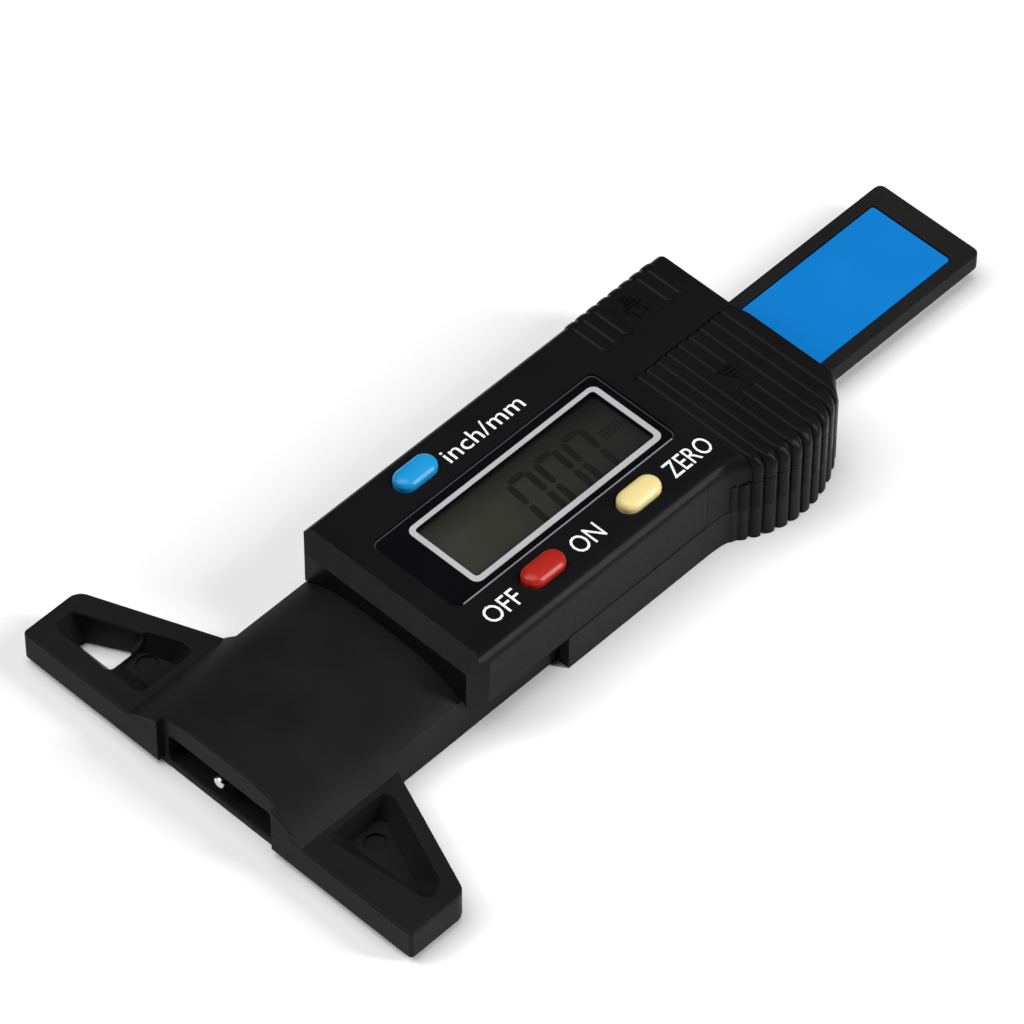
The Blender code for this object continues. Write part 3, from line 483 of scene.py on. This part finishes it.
# --- foot ----------------------------------------------------------------------------------------
FOOT_X, FOOT_Y, FOOT_Z = span("foot_frame")
FOOT_HALF, RAIL_END, ARCH_TOP = FOOT_X[1], FOOT_Y[1], FOOT_Z[1]
WING_BOTTOM, WING_TOP = 0.87, 5.12
BRIDGE_HALF, ARCH_DROP, ARCH_POWER = 12.11, 2.7, 3.2
HOOD_END, RAIL_TOP = 29.0, 5.9
CHEEK_INNER, CHEEK_BASE, CHEEK_END = 8.5, 1.2, 3.0
ROOT_START, ROOT_END, ROOT_BASE = 11.95, 13.4, 4.0      # the rounded root between bridge and wings
POCKET_DEPTH, MARK_DEPTH, MARK_RADIUS = 2.2, 1.8, 1.35
RECESS_HALF, RECESS = 8.8, 0.87
SLOT_HALF, SLOT_FLOOR, SLOT_ROOF, LIP_END = 8.1, 1.2, 5.4, 3.2


def arch_height(x):
    return ARCH_TOP - ARCH_DROP * min(1.0, abs(x) / BRIDGE_HALF) ** ARCH_POWER


def arch(low=-BRIDGE_HALF, high=BRIDGE_HALF, base=0.0, steps=40):
    """The bridge's cross-section between two places across."""
    xs = [high + (low - high) * step / steps for step in range(steps + 1)]
    return [(low, base), (high, base)] + [(x, arch_height(x)) for x in xs]


def wing_rear(x):
    return 8.26 + 0.40 * (FOOT_HALF - abs(x))


def pocket(name, side, rim, floor, depth):
    """A drafted pocket whose floor outline widens to its rounded rim; the outlines are for the right side."""
    rim = [(side * x, y) for x, y in rim]
    floor = [(side * x, y) for x, y in floor]
    if side < 0:
        rim, floor = rim[::-1], floor[::-1]
    upper, lower = rounded(rim, 0.9), rounded(floor, 0.5)
    near_rim = [tuple(Vector(a).lerp(Vector(b), 0.94)) for a, b in zip(lower, upper)]
    levels = [(lower, depth), (near_rim, WING_TOP - 0.22), (upper, WING_TOP - 0.02),
              (grown(upper, 0.25), WING_TOP + 0.06), (grown(upper, 0.4), WING_TOP + 1.0)]
    return piece(name, loft(bmesh.new(), [lay(outline, z) for outline, z in levels]))


def make_foot():
    tip, root = wing_rear(FOOT_HALF), wing_rear(BRIDGE_HALF)
    plan = [(-FOOT_HALF, 0), (FOOT_HALF, 0), (FOOT_HALF, tip), (BRIDGE_HALF, root), (-BRIDGE_HALF, root),
            (-FOOT_HALF, tip)]
    outline = rounded(plan, [0.5, 0.5, 1.9, 0.6, 0.6, 1.9])
    foot = broken(prism("foot", outline, WING_BOTTOM, WING_TOP, skin=skin_of("foot_frame")), 0.28)
    middle = broken(prism("bridge", arch(), RECESS, RAIL_END, "Y"), 0.22, angle=60)
    cheeks = []
    for side in (-1, 1):
        section = arch(*sorted((side * CHEEK_INNER, side * BRIDGE_HALF)), base=CHEEK_BASE, steps=16)
        cheeks.append(broken(prism("cheek", section, 0.01, CHEEK_END, "Y"), 0.16, angle=60))
    unite(foot, middle, *cheeks)
    crest = arch_height(ROOT_START) - 0.015
    start, knee = Vector((ROOT_START, crest)), Vector((12.85, crest - 0.62))
    end = Vector((ROOT_END, WING_TOP - 0.01))
    slope = [start.lerp(knee, t / 8).lerp(knee.lerp(end, t / 8), t / 8) for t in range(9)]
    for side in (-1, 1):
        section = [(11.6, ROOT_BASE), (ROOT_END, ROOT_BASE)] + [tuple(point) for point in slope[::-1]]
        section.append((11.6, 6.15))
        fillet = prism("fillet", [(side * x, z) for x, z in section], 0.02, 22.0, "Y")
        limit = prism("fillet_limit", grown(rounded(plan, 0.6), -0.03), 0, ARCH_TOP + 1)
        unite(foot, combine(fillet, [limit], "INTERSECT"))
    mouth = rectangle((-SLOT_HALF, SLOT_HALF), (SLOT_FLOOR, SLOT_ROOF), 1.0)
    flare = [(grown(mouth, 0.5), RECESS - 0.5), (grown(mouth, 0.16), RECESS), (mouth, RECESS + 0.2),
             (mouth, LIP_END + 0.5)]
    step, past = HOOD_END + 0.05, RAIL_END + 1
    channel = [(LIP_END, -1), (past, -1), (past, RAIL_TOP + 0.5), (step, RAIL_TOP + 0.5), (step, SLOT_ROOF),
               (LIP_END, SLOT_ROOF)]
    heel = (-1, LIP_END + 0.1)
    above_rails = rectangle((-FOOT_HALF, FOOT_HALF), (HOOD_END, RAIL_END + 1.2))
    tools = [prism("recess", rectangle((-RECESS_HALF, RECESS_HALF), (-1, RECESS + 0.01)), -1, ARCH_TOP + 1),
             piece("mouth", loft(bmesh.new(), [lay(outline, y, "Y") for outline, y in flare])),
             prism("channel", channel, -SLOT_HALF - 0.01, SLOT_HALF + 0.01, "X"),
             prism("ledge", rectangle((-11.3, 11.3), (3.2, past)), -1.2, 0.9),
             prism("left_heel", rectangle((-BRIDGE_HALF - 1, -RECESS_HALF), heel), -1.1, WING_BOTTOM),
             prism("right_heel", rectangle((RECESS_HALF, BRIDGE_HALF + 1), heel), -1.1, WING_BOTTOM),
             prism("rails", above_rails, RAIL_TOP, ARCH_TOP + 1.2)]
    for tool in tools:
        cut(foot, tool)
    rim = [(14.2, 3.0), (27.4, 4.6), (28.1, 5.5), (27.0, 7.5), (16.0, 12.0), (14.2, 12.0)]
    floor = [(14.9, 5.8), (23.9, 5.4), (24.8, 6.0), (24.4, 6.7), (15.8, 10.5), (14.9, 10.5)]
    cut(foot, pocket("right_pocket", 1, rim, floor, POCKET_DEPTH))
    rim = [(-28.1, 3.0), (-19.0, 2.7), (-19.0, 9.5), (-28.3, 5.8)]
    floor = [(-26.9, 5.2), (-21.65, 5.2), (-21.65, 8.9), (-26.9, 6.2)]
    floor, rim = rounded(floor, 0.45), rounded(rim, 1.0)
    hole = [(floor, -1), (floor, WING_BOTTOM), (rim, WING_TOP - 0.15), (grown(rim, 0.14), WING_TOP + 0.02),
            (grown(rim, 0.3), WING_TOP + 1)]
    cut(foot, piece("hanging_hole", loft(bmesh.new(), [lay(outline, z) for outline, z in hole])))
    rim = [(14.4, 2.9), (20.4, 2.9), (20.4, 9.4), (16.4, 11.2), (14.4, 11.2)]
    floor = [(15.6, 5.9), (20.4, 5.9), (20.4, 8.7), (16.6, 10.0), (15.6, 10.0)]
    cut(foot, pocket("left_pocket", -1, rim, floor, POCKET_DEPTH))
    for side, x, y in ((1, 16.9, 7.8), (-1, 18.6, 7.9)):
        turns = [k * math.pi / 14 for k in range(28)]
        dish = [(side * x + MARK_RADIUS * math.cos(turn), y + MARK_RADIUS * math.sin(turn)) for turn in turns]
        cut(foot, prism("mark", dish, MARK_DEPTH, 3.0))
    stands_for(settle(foot, 30), "frame", "foot_frame")


# --- grips -----------------------------------------------------------------------------------------
_, (HEAD_FRONT, HEAD_REAR), (_, HEAD_TOP) = span("head_shell")
HEAD_HALF, HEAD_EDGE = 13.82, 1.5
SEAM, SHELL_LOW, COVER_TOP = 5.3, 5.18, 5.15            # the joint, and how nearly its two faces close
BULGE_START, BULGE_END, BULGE_OUT = 66.2, 84.98, 17.4
PAD_TOP, PAD_SIDE, PAD_HALF = 0.16, 0.17, 0.65
ARROW_RISE, STEM_RISE, RIDGE_HALF, RIDGE_DRAFT = 0.3, 0.26, 0.17, 0.11
HOOK_REACH = 1.9         # how far the hook reaches past the lid's plate
HOOK_SPAN, LIP_INNER = (73.0, 81.0), -2.05
LID_EDGE = 1.7           # rounding of the top edge over the bulge
SEAM_FILL = 0.26         # how much of the lid's clearance its visible edge takes up
BAND = 0.45              # how far the bands stand out on the side
FLARE_START, FLARE_LONG, FLARE_INNER = 63.4, 5.07, 12.7


def bulge_x(y):
    """How far out the bulge reaches."""
    rise, chord = BULGE_OUT - HEAD_HALF, BULGE_END - BULGE_START
    radius = chord * chord / (8 * rise) + rise / 2
    reach = radius ** 2 - (y - (BULGE_START + BULGE_END) / 2) ** 2
    return BULGE_OUT - radius + math.sqrt(reach)


def over_edge(inner, outer, bottom, radius, drop=0.0, across=14):
    """Stations across the top, round the edge and down the side, each (place, normal)."""
    flat, top = outer - radius, HEAD_TOP - drop
    path = [((inner + (flat - inner) * i / across, top), (0, 1)) for i in range(across)]
    for i in range(9):
        normal = (math.sin(math.radians(90) * i / 8), math.cos(math.radians(90) * i / 8))
        path.append(((flat + radius * normal[0], top - radius + radius * normal[1]), normal))
    low = top - radius
    return path + [((outer, low + (bottom - low) * i / 7), (1, 0)) for i in range(1, 8)]


def straight_down(outer, top, bottom):
    """Stations down the side alone."""
    return [((outer, top + (bottom - top) * i / 4), (1, 0)) for i in range(5)]


def base_x(y):
    """The side that the bulge's bands stand on."""
    return bulge_x(min(max(y, BULGE_START), BULGE_END)) - BAND


def side_x(_):
    """The head's straight side."""
    return HEAD_HALF


def rib(bm, side, y, half, stations, outer_at, top_rise, side_rise, round_end=False, slopes=(0.24, 0.05)):
    """A raised band along a path: flat with sloping edges on the top, and round-backed on the side."""
    loops, sink, around = [], 0.4, 14
    for (x, z), normal in stations:
        turn = normal[0]
        rise = top_rise + (side_rise - top_rise) * turn
        width = half * (1 + 0.05 * turn)
        loop = []
        for k in range(around + 1):
            angle = math.pi * k / around
            share = -math.copysign(abs(math.cos(angle)) ** (0.45 + 0.5 * turn), math.cos(angle))
            flat = min(1.0, (1 + share) * width / slopes[0], (1 - share) * width / slopes[1])
            height = rise * (flat * (1 - turn) + abs(math.sin(angle)) ** 0.95 * turn)
            shift = (outer_at(y + share * width) - outer_at(y)) * turn
            loop.append((side * (x + shift + normal[0] * height), y + share * width, z + normal[1] * height))
        for share in (1, 0, -1):
            shift = (outer_at(y + share * width) - outer_at(y)) * turn
            loop.append((side * (x + shift - normal[0] * sink), y + share * width, z - normal[1] * sink))
        loops.append(loop)
    if round_end:
        ends = [(0.98, 0.2), (0.86, 0.51), (0.6, 0.8), (0.3, 0.954)]
        loops = [[(px - side * half * reach, y + (py - y) * squeeze, pz) for px, py, pz in loops[0]]
                 for reach, squeeze in ends] + loops
    return loft(bm, loops)


def ridge(bm, xs, ys, low, high):
    """A small raised bar with sloping sides."""
    outline = rectangle(xs, ys)
    return loft(bm, [lay(outline, low), lay(grown(outline, -RIDGE_DRAFT), high)])


def make_left_grip():
    bm = bmesh.new()
    pads = [(y, 7.9) for y in (69.75, 71.5, 73.25, 80.3, 82.05)] + [(y, 12.0) for y in (75.0, 76.8, 78.55)]
    for y, inner in pads:
        stations = over_edge(inner, HEAD_HALF, SEAM + 0.15, HEAD_EDGE)
        rib(bm, -1, y, PAD_HALF, stations, side_x, PAD_TOP, PAD_SIDE, inner < 10, slopes=(0.2, 0.14))
    island = rounded([(-12.6, 74.3), (-7.5, 74.3), (-7.5, 79.3), (-12.6, 79.3)], 0.7)
    loft(bm, [lay(island, HEAD_TOP - 0.3), lay(island, HEAD_TOP + PAD_TOP - 0.055),
              lay(grown(island, -0.05), HEAD_TOP + PAD_TOP - 0.015)])
    top = HEAD_TOP + PAD_TOP
    for k in range(5):
        x, half = -9.55 - 0.5 * k, 1.4 - 0.27 * k
        ridge(bm, (x - RIDGE_HALF, x + RIDGE_HALF), (76.4 - half, 76.4 + half), top - 0.1, top + ARROW_RISE)
    for ys in ((75.5, 75.8), (77.0, 77.3)):
        ridge(bm, (-9.1, -8.0), ys, top - 0.1, top + STEM_RISE)
    ridge(bm, (-8.15, -7.85), (75.8, 77.0), top - 0.1, top + STEM_RISE)
    stands_for(piece("left_grip", bm, skin_of("head_shell"), 45), "head")


def bands():
    """The right grip's bands, front to rear: their middles and half widths."""
    grooves = [68.8, 70.2, 71.9, 73.6, 75.4, 77.15, 78.9, 80.7, 82.5, 84.0]
    return [((a + b) / 2, (b - a) / 2 - 0.15) for a, b in zip(grooves, grooves[1:])]


def make_lid():
    (left, _), (front, rear), (skirt, _) = span("battery_cover")
    drop, wall, under = 0.24, 0.78, 12.05
    inner = left + HOOK_REACH - SEAM_FILL
    loops = []
    for k in range(41):
        y = front - SEAM_FILL + (rear - front + SEAM_FILL) * k / 40
        outside = [point for point, _ in over_edge(inner, base_x(y), skirt, LID_EDGE, drop)]
        inside = [point for point, _ in over_edge(inner, base_x(y) - wall, skirt, 0.5, HEAD_TOP - under)]
        loops.append([(x, y, z) for x, z in outside + inside[::-1]])
    lid = broken(piece("lid", loft(bmesh.new(), loops), skin_of("battery_cover")), 0.1, 2, 60)
    wall_loops = []
    for y in (rear - 1.1, rear - 0.05):
        outside = [point for point, _ in over_edge(LIP_INNER, base_x(y) - 0.05, skirt, LID_EDGE, drop + 0.1)]
        wall_loops.append([(x, y, z) for x, z in outside + [(LIP_INNER, skirt)]])
    unite(lid, piece("rear_lip", loft(bmesh.new(), wall_loops)))
    cut(lid, prism("rear_corner", [(-2.6, 84.4), (0.6, 85.1), (-2.6, 85.1)], 8, 14))
    unite(lid, prism("hook_stem", rectangle((LIP_INNER, -1.1), HOOK_SPAN), 10.95, 12.3),
          prism("hook", rectangle((-4.0, -1.5), HOOK_SPAN), 10.96, 11.6))
    bm = bmesh.new()
    for y, half in bands():
        stations = over_edge(inner + 0.02, base_x(y), skirt + 0.02, LID_EDGE, drop, across=18)
        rib(bm, 1, y, half, stations, base_x, drop, BAND)
    island = rounded([(3.4, 74.6), (7.4, 74.6), (7.4, 78.2), (3.4, 78.2)], 0.3)
    loft(bm, [lay(island, HEAD_TOP - 0.5), lay(island, HEAD_TOP - 0.005)])
    for k in range(5):
        x, half = 3.95 + 0.6 * k, 1.3 - 0.26 * k
        ridge(bm, (x - RIDGE_HALF, x + RIDGE_HALF), (77.0 - half, 77.0 + half), HEAD_TOP - 0.2,
              HEAD_TOP + ARROW_RISE)
    ribs = piece("lid_bands", bm, skin_of("battery_cover"), 45)
    stands_for(lid, "battery_cover", "battery_cover")
    stands_for(ribs, "battery_cover")


def flare_x(y):
    """The side in front of the bulge, swept out into it."""
    start = BULGE_START + 0.25
    slope = (base_x(start + 0.2) - base_x(start)) / 0.2
    leaning = base_x(y) if y > start else base_x(start) + slope * (y - start)
    return (HEAD_HALF + leaning + math.sqrt((HEAD_HALF - leaning) ** 2 + 0.8)) / 2 - 0.05


def make_side_bands():
    """The bands carried on down the bulge, on the shell and the back cover, and the sweep before them."""
    for name, node, top, bottom in (("shell_bands", "head_shell", 9.5, 5.17),
                                    ("cover_bands", "back_cover", 5.16, 0.03)):
        bm = bmesh.new()
        for y, half in bands() + [(84.45, 0.34)]:
            rib(bm, 1, y, half, straight_down(base_x(y), top, bottom), base_x, 0, BAND)
        for y, half, rise in ((67.0, 0.36, 0.16), (68.1, 0.48, 0.3)):
            stations = straight_down(flare_x(y) - 0.02, min(top, 9.35), bottom)
            rib(bm, 1, y, half, stations, flare_x, 0, rise)
        loops = []
        for k in range(21):
            y = FLARE_START + FLARE_LONG * k / 20
            if node == "head_shell":
                path = [point for point, _ in over_edge(11.5, flare_x(y), bottom, HEAD_EDGE, 0.01)]
            else:
                path = [(FLARE_INNER, top), (flare_x(y) + 0.06, top), (flare_x(y) + 0.06, bottom)]
            path.append((FLARE_INNER, bottom))
            loops.append([(x, y, z) for x, z in path])
        loft(bm, loops)
        stands_for(piece(name, bm, skin_of(node), 45), "head")


def drawn_in(thing):
    """Brings the bulge's wall in by the height of the bands that stand on it."""
    limit = HEAD_HALF + 0.1
    for vertex in thing.data.vertices:
        if vertex.co.x > limit * MM:
            vertex.co.x = max(limit * MM, vertex.co.x - BAND * MM)
    return thing


def make_shell():
    shell = drawn_in(copy_of("head_shell", "shell"))
    for vertex in shell.data.vertices:
        if abs(vertex.co.z - (SEAM + 0.15) * MM) < 0.02 * MM:
            vertex.co.z = SHELL_LOW * MM
    room = [(12.1, 6.5), (12.1, 5.0), (13.64, 5.0), (13.64, 5.36), (13.0, 5.7), (12.4, 6.3)]
    tools = [prism("relief", [(side * x, z) for x, z in room], HEAD_FRONT - 1, 63.0, "Y") for side in (-1, 1)]
    corner = [(-0.1, 1.2), (0.03, 0.95), (0.13, 0.53), (0.3, 0.3), (0.53, 0.13), (0.95, 0.03), (1.2, -0.1),
              (-0.1, -0.1)]
    outline = [(-HEAD_HALF + x, HEAD_REAR - y) for x, y in corner]
    tools.append(prism("rear_corner", outline, 5.6, HEAD_TOP + 1))
    cut(shell, *tools)
    stands_for(broken(shell, 0.12, 3, 35, spared=SHELL_LOW), "head", "head_shell")


def make_cover():
    cover = drawn_in(copy_of("back_cover", "cover"))
    stands_for(broken(cover, 0.12, 2, 35, spared=COVER_TOP), "head", "back_cover")


# --- display -----------------------------------------------------------------------------------------
WINDOW_X, WINDOW_Y, WINDOW_Z = span("display_window")
RING_OUT, RING_IN = ((-5.4, 5.62), (35.1, 65.05)), ((-4.78, 4.86), (35.85, 64.3))
LCD_TOP, PANE_TOP = 11.87, 12.72
INK = (LCD_TOP - 0.02, LCD_TOP + 0.02)                  # the display's raised digits and unit
SEGMENT_HALF, SEGMENT_GAP = 0.42, 0.12


def tube(outer, inner, low, high, bevel):
    """A closed ring between two outlines with the same number of points."""
    bm = bmesh.new()
    rings = [lay(outer, low), lay(outer, high - bevel), lay(grown(outer, -bevel), high),
             lay(grown(inner, bevel), high), lay(inner, high - bevel), lay(inner, low)]
    made = [[bm.verts.new(point) for point in ring] for ring in rings]
    for first, second in zip(made, made[1:] + made[:1]):
        for i in range(len(first)):
            j = (i + 1) % len(first)
            bm.faces.new((first[i], first[j], second[j], second[i]))
    return bm


def make_window():
    xs, ys = [(low - 0.15, high + 0.15) for low, high in (WINDOW_X, WINDOW_Y)]
    rim = rectangle(xs, ys, 0.95)
    opening = rectangle(*RING_IN, 0.25)
    border = tube(grown(rim, -0.14), opening, WINDOW_Z[0], PANE_TOP, 0.03)
    stands_for(piece("window_border", border, SKINS["window"]), "head", "display_window")
    # the pane's edge ring: lighter grey than the border, partly a painted highlight
    edge = tube(rim, grown(rim, -0.15), WINDOW_Z[0], PANE_TOP + 0.02, 0.02)
    stands_for(piece("window_edge", edge, SKINS["pane_edge_highlight"]), "head")
    # painted highlight: a thin light grey strip along the opening's right edge, in place of the light its bevel
    # catches
    glint = rectangle((6.6, 6.78), (31.9, 65.1))
    strip = loft(bmesh.new(), [lay(glint, HEAD_TOP - 0.2), lay(glint, HEAD_TOP + 0.012)])
    stands_for(piece("opening_edge_highlight", strip, SKINS["glint"]), "head")
    ring = tube(rectangle(*RING_OUT, 1.0), rectangle(*RING_IN, 0.45), PANE_TOP - 0.05, PANE_TOP + 0.03, 0.02)
    stands_for(piece("window_ring", ring, SKINS["silver"]), "head")
    xs, ys, (low, high) = span("display_glass")
    face = rectangle(xs, ys, 0.4)
    bm = loft(bmesh.new(), [lay(face, low), lay(face, high)])
    view = rectangle((-5.9, 5.9), (33.0, 64.9), 0.3)
    loft(bm, [lay(view, high - 0.1), lay(view, LCD_TOP)])
    stands_for(piece("display_panel", bm, SKINS["lcd"]), "head", "display_glass")


def bar(bm, a, b):
    """A display segment: a bar with pointed ends from a to b."""
    a, b = Vector(a), Vector(b)
    along = (b - a).normalized()
    aside = Vector((-along.y, along.x)) * SEGMENT_HALF
    tip = along * SEGMENT_HALF * 0.8
    outline = [a, a + tip - aside, b - tip - aside, b, b - tip + aside, a + tip + aside]
    loft(bm, [lay([tuple(point) for point in outline], z) for z in INK])


DIGIT_TOP, DIGIT_FOOT, DIGIT_WIDE, DIGIT_STEP, DIGIT_START = -2.45, 4.95, 2.85, 4.3, 47.85
LEAN = 0.08


def make_digits():
    """Three zeros with a point after the first, read along the gauge."""
    bm = bmesh.new()
    middle = (DIGIT_TOP + DIGIT_FOOT) / 2

    def spot(start, x, across):
        return (x, start + across - LEAN * (x - middle))

    halves = ((DIGIT_TOP + SEGMENT_GAP, middle - SEGMENT_GAP), (middle + SEGMENT_GAP, DIGIT_FOOT - SEGMENT_GAP))
    for index in range(3):
        start = DIGIT_START + DIGIT_STEP * index
        for across in (0, DIGIT_WIDE):
            for upper, lower in halves:
                bar(bm, spot(start, upper, across), spot(start, lower, across))
        for x in (DIGIT_TOP, DIGIT_FOOT):
            bar(bm, spot(start, x, 0.2), spot(start, x, DIGIT_WIDE - 0.2))
    y = DIGIT_START + DIGIT_WIDE + 0.72
    loft(bm, [lay(rectangle((4.45, 5.05), (y - 0.3, y + 0.3)), z) for z in INK])
    stands_for(piece("display_digits", bm, SKINS["segment"]), "head")


def lettering(name, words, xs, ys, low, high, skin):
    """Words that read along the gauge, stretched to fill the given box; their tops point to -x."""
    curve = bpy.data.curves.new(name, "FONT")
    curve.body, curve.size, curve.resolution_u = words, 1.0, 3
    text = bpy.data.objects.new(name, curve)
    bpy.context.scene.collection.objects.link(text)
    mesh = bpy.data.meshes.new_from_object(text.evaluated_get(bpy.context.evaluated_depsgraph_get()))
    bpy.data.objects.remove(text, do_unlink=True)
    spots = [vertex.co.copy() for vertex in mesh.vertices]
    left, right = min(p.x for p in spots), max(p.x for p in spots)
    foot, top = min(p.y for p in spots), max(p.y for p in spots)
    for vertex in mesh.vertices:
        along, up = (vertex.co.x - left) / (right - left), (vertex.co.y - foot) / (top - foot)
        vertex.co = (xs[1] + (xs[0] - xs[1]) * up, ys[0] + (ys[1] - ys[0]) * along, low)
    bm = bmesh.new()
    bm.from_mesh(mesh)
    bmesh.ops.remove_doubles(bm, verts=bm.verts, dist=0.0005)
    solid = bmesh.ops.extrude_face_region(bm, geom=bm.faces[:])
    moved = [item for item in solid["geom"] if isinstance(item, bmesh.types.BMVert)]
    bmesh.ops.translate(bm, vec=(0, 0, high - low), verts=moved)
    stands_for(piece(name, bm, skin), "head")


LABELS = [
    ("label_unit", "inch/mm", (-10.55, -8.35), (45.4, 57.4)),
    ("label_off", "OFF", (8.7, 11.15), (32.1, 37.1)),
    ("label_on", "ON", (8.6, 11.1), (45.9, 50.1)),
    ("label_zero", "ZERO", (8.55, 11.05), (61.1, 67.55)),
]


def make_labels():
    for name, words, xs, ys in LABELS:
        lettering(name, words, xs, ys, HEAD_TOP - 0.03, HEAD_TOP + 0.025, SKINS["paint"])
    lettering("display_unit", "mm", (-0.6, 0.85), (60.75, 63.45), *INK, SKINS["segment"])


# --- buttons -------------------------------------------------------------------------------------------
BUTTON_HALF, BUTTON_RADIUS, BUTTON_LOW = 3.0, 1.55, 11.2
DOME = [(0.0, 0.86), (0.04, 0.66), (0.13, 0.46), (0.27, 0.3), (0.46, 0.17), (0.72, 0.07), (1.0, 0.02),
        (1.3, 0.0)]      # how far in from the button's side, and how far below its top


def stadium(x, y, inset):
    """The outline of a button, drawn in by the inset."""
    radius = BUTTON_RADIUS - inset
    points = []
    for end, first in ((1, 0), (-1, math.pi)):
        for k in range(13):
            turn = math.pi * k / 12 + first
            centre = y + end * (BUTTON_HALF - BUTTON_RADIUS)
            points.append((x + radius * math.cos(turn), centre + radius * math.sin(turn)))
    return points


def make_buttons():
    for name in ("unit_button", "power_button", "zero_button"):
        xs, ys, (low, top) = span(name)
        x, y = sum(xs) / 2, sum(ys) / 2
        levels = [(0.0, BUTTON_LOW)] + [(inset, top - below) for inset, below in DOME]
        bm = loft(bmesh.new(), [lay(stadium(x, y, inset), z) for inset, z in levels])
        plate = rectangle((x - 1.25, x + 1.25), ys, 0.3)
        loft(bm, [lay(plate, low), lay(plate, low + 0.6)])
        stands_for(piece(name + "_cap", bm, skin_of(name), 40), name, name)


def make_pin():
    xs, ys, zs = span("probe_pin")
    x, z, radius = sum(xs) / 2, sum(zs) / 2, (xs[1] - xs[0]) / 2
    tip, end = ys
    profile = [(tip, 0.35), (tip + 0.04, 0.52), (tip + 0.12, 0.66), (tip + 0.28, 0.745), (tip + 0.45, radius),
               (end - 0.2, radius), (end, radius - 0.2)]
    turns = [2 * math.pi * k / 28 for k in range(28)]
    loops = [[(x + r * math.cos(t), y, z + r * math.sin(t)) for t in turns] for y, r in profile]
    stands_for(piece("pin", loft(bmesh.new(), loops), SKINS["pin"]), "head", "probe_pin")


for maker in (make_foot, make_shell, make_cover, make_left_grip, make_side_bands, make_lid, make_window,
              make_digits, make_labels, make_buttons, make_pin):
    maker()


# --- carried-over nodes ------------------------------------------------------------------------
def refine(node):
    """A carried-over CAD node: welded, with its edges broken, in its own material."""
    thing = NODES[node]
    thing.data.materials.clear()
    thing.data.materials.append(skin_of(node))
    flatten(thing)
    edge = thing.modifiers.new("edge", "BEVEL")
    edge.width, edge.segments, edge.angle_limit = 0.12 * MM, 2, math.radians(35)
    edge.limit_method = "ANGLE"


for name in NODES:
    if name not in REPLACED:
        refine(name)
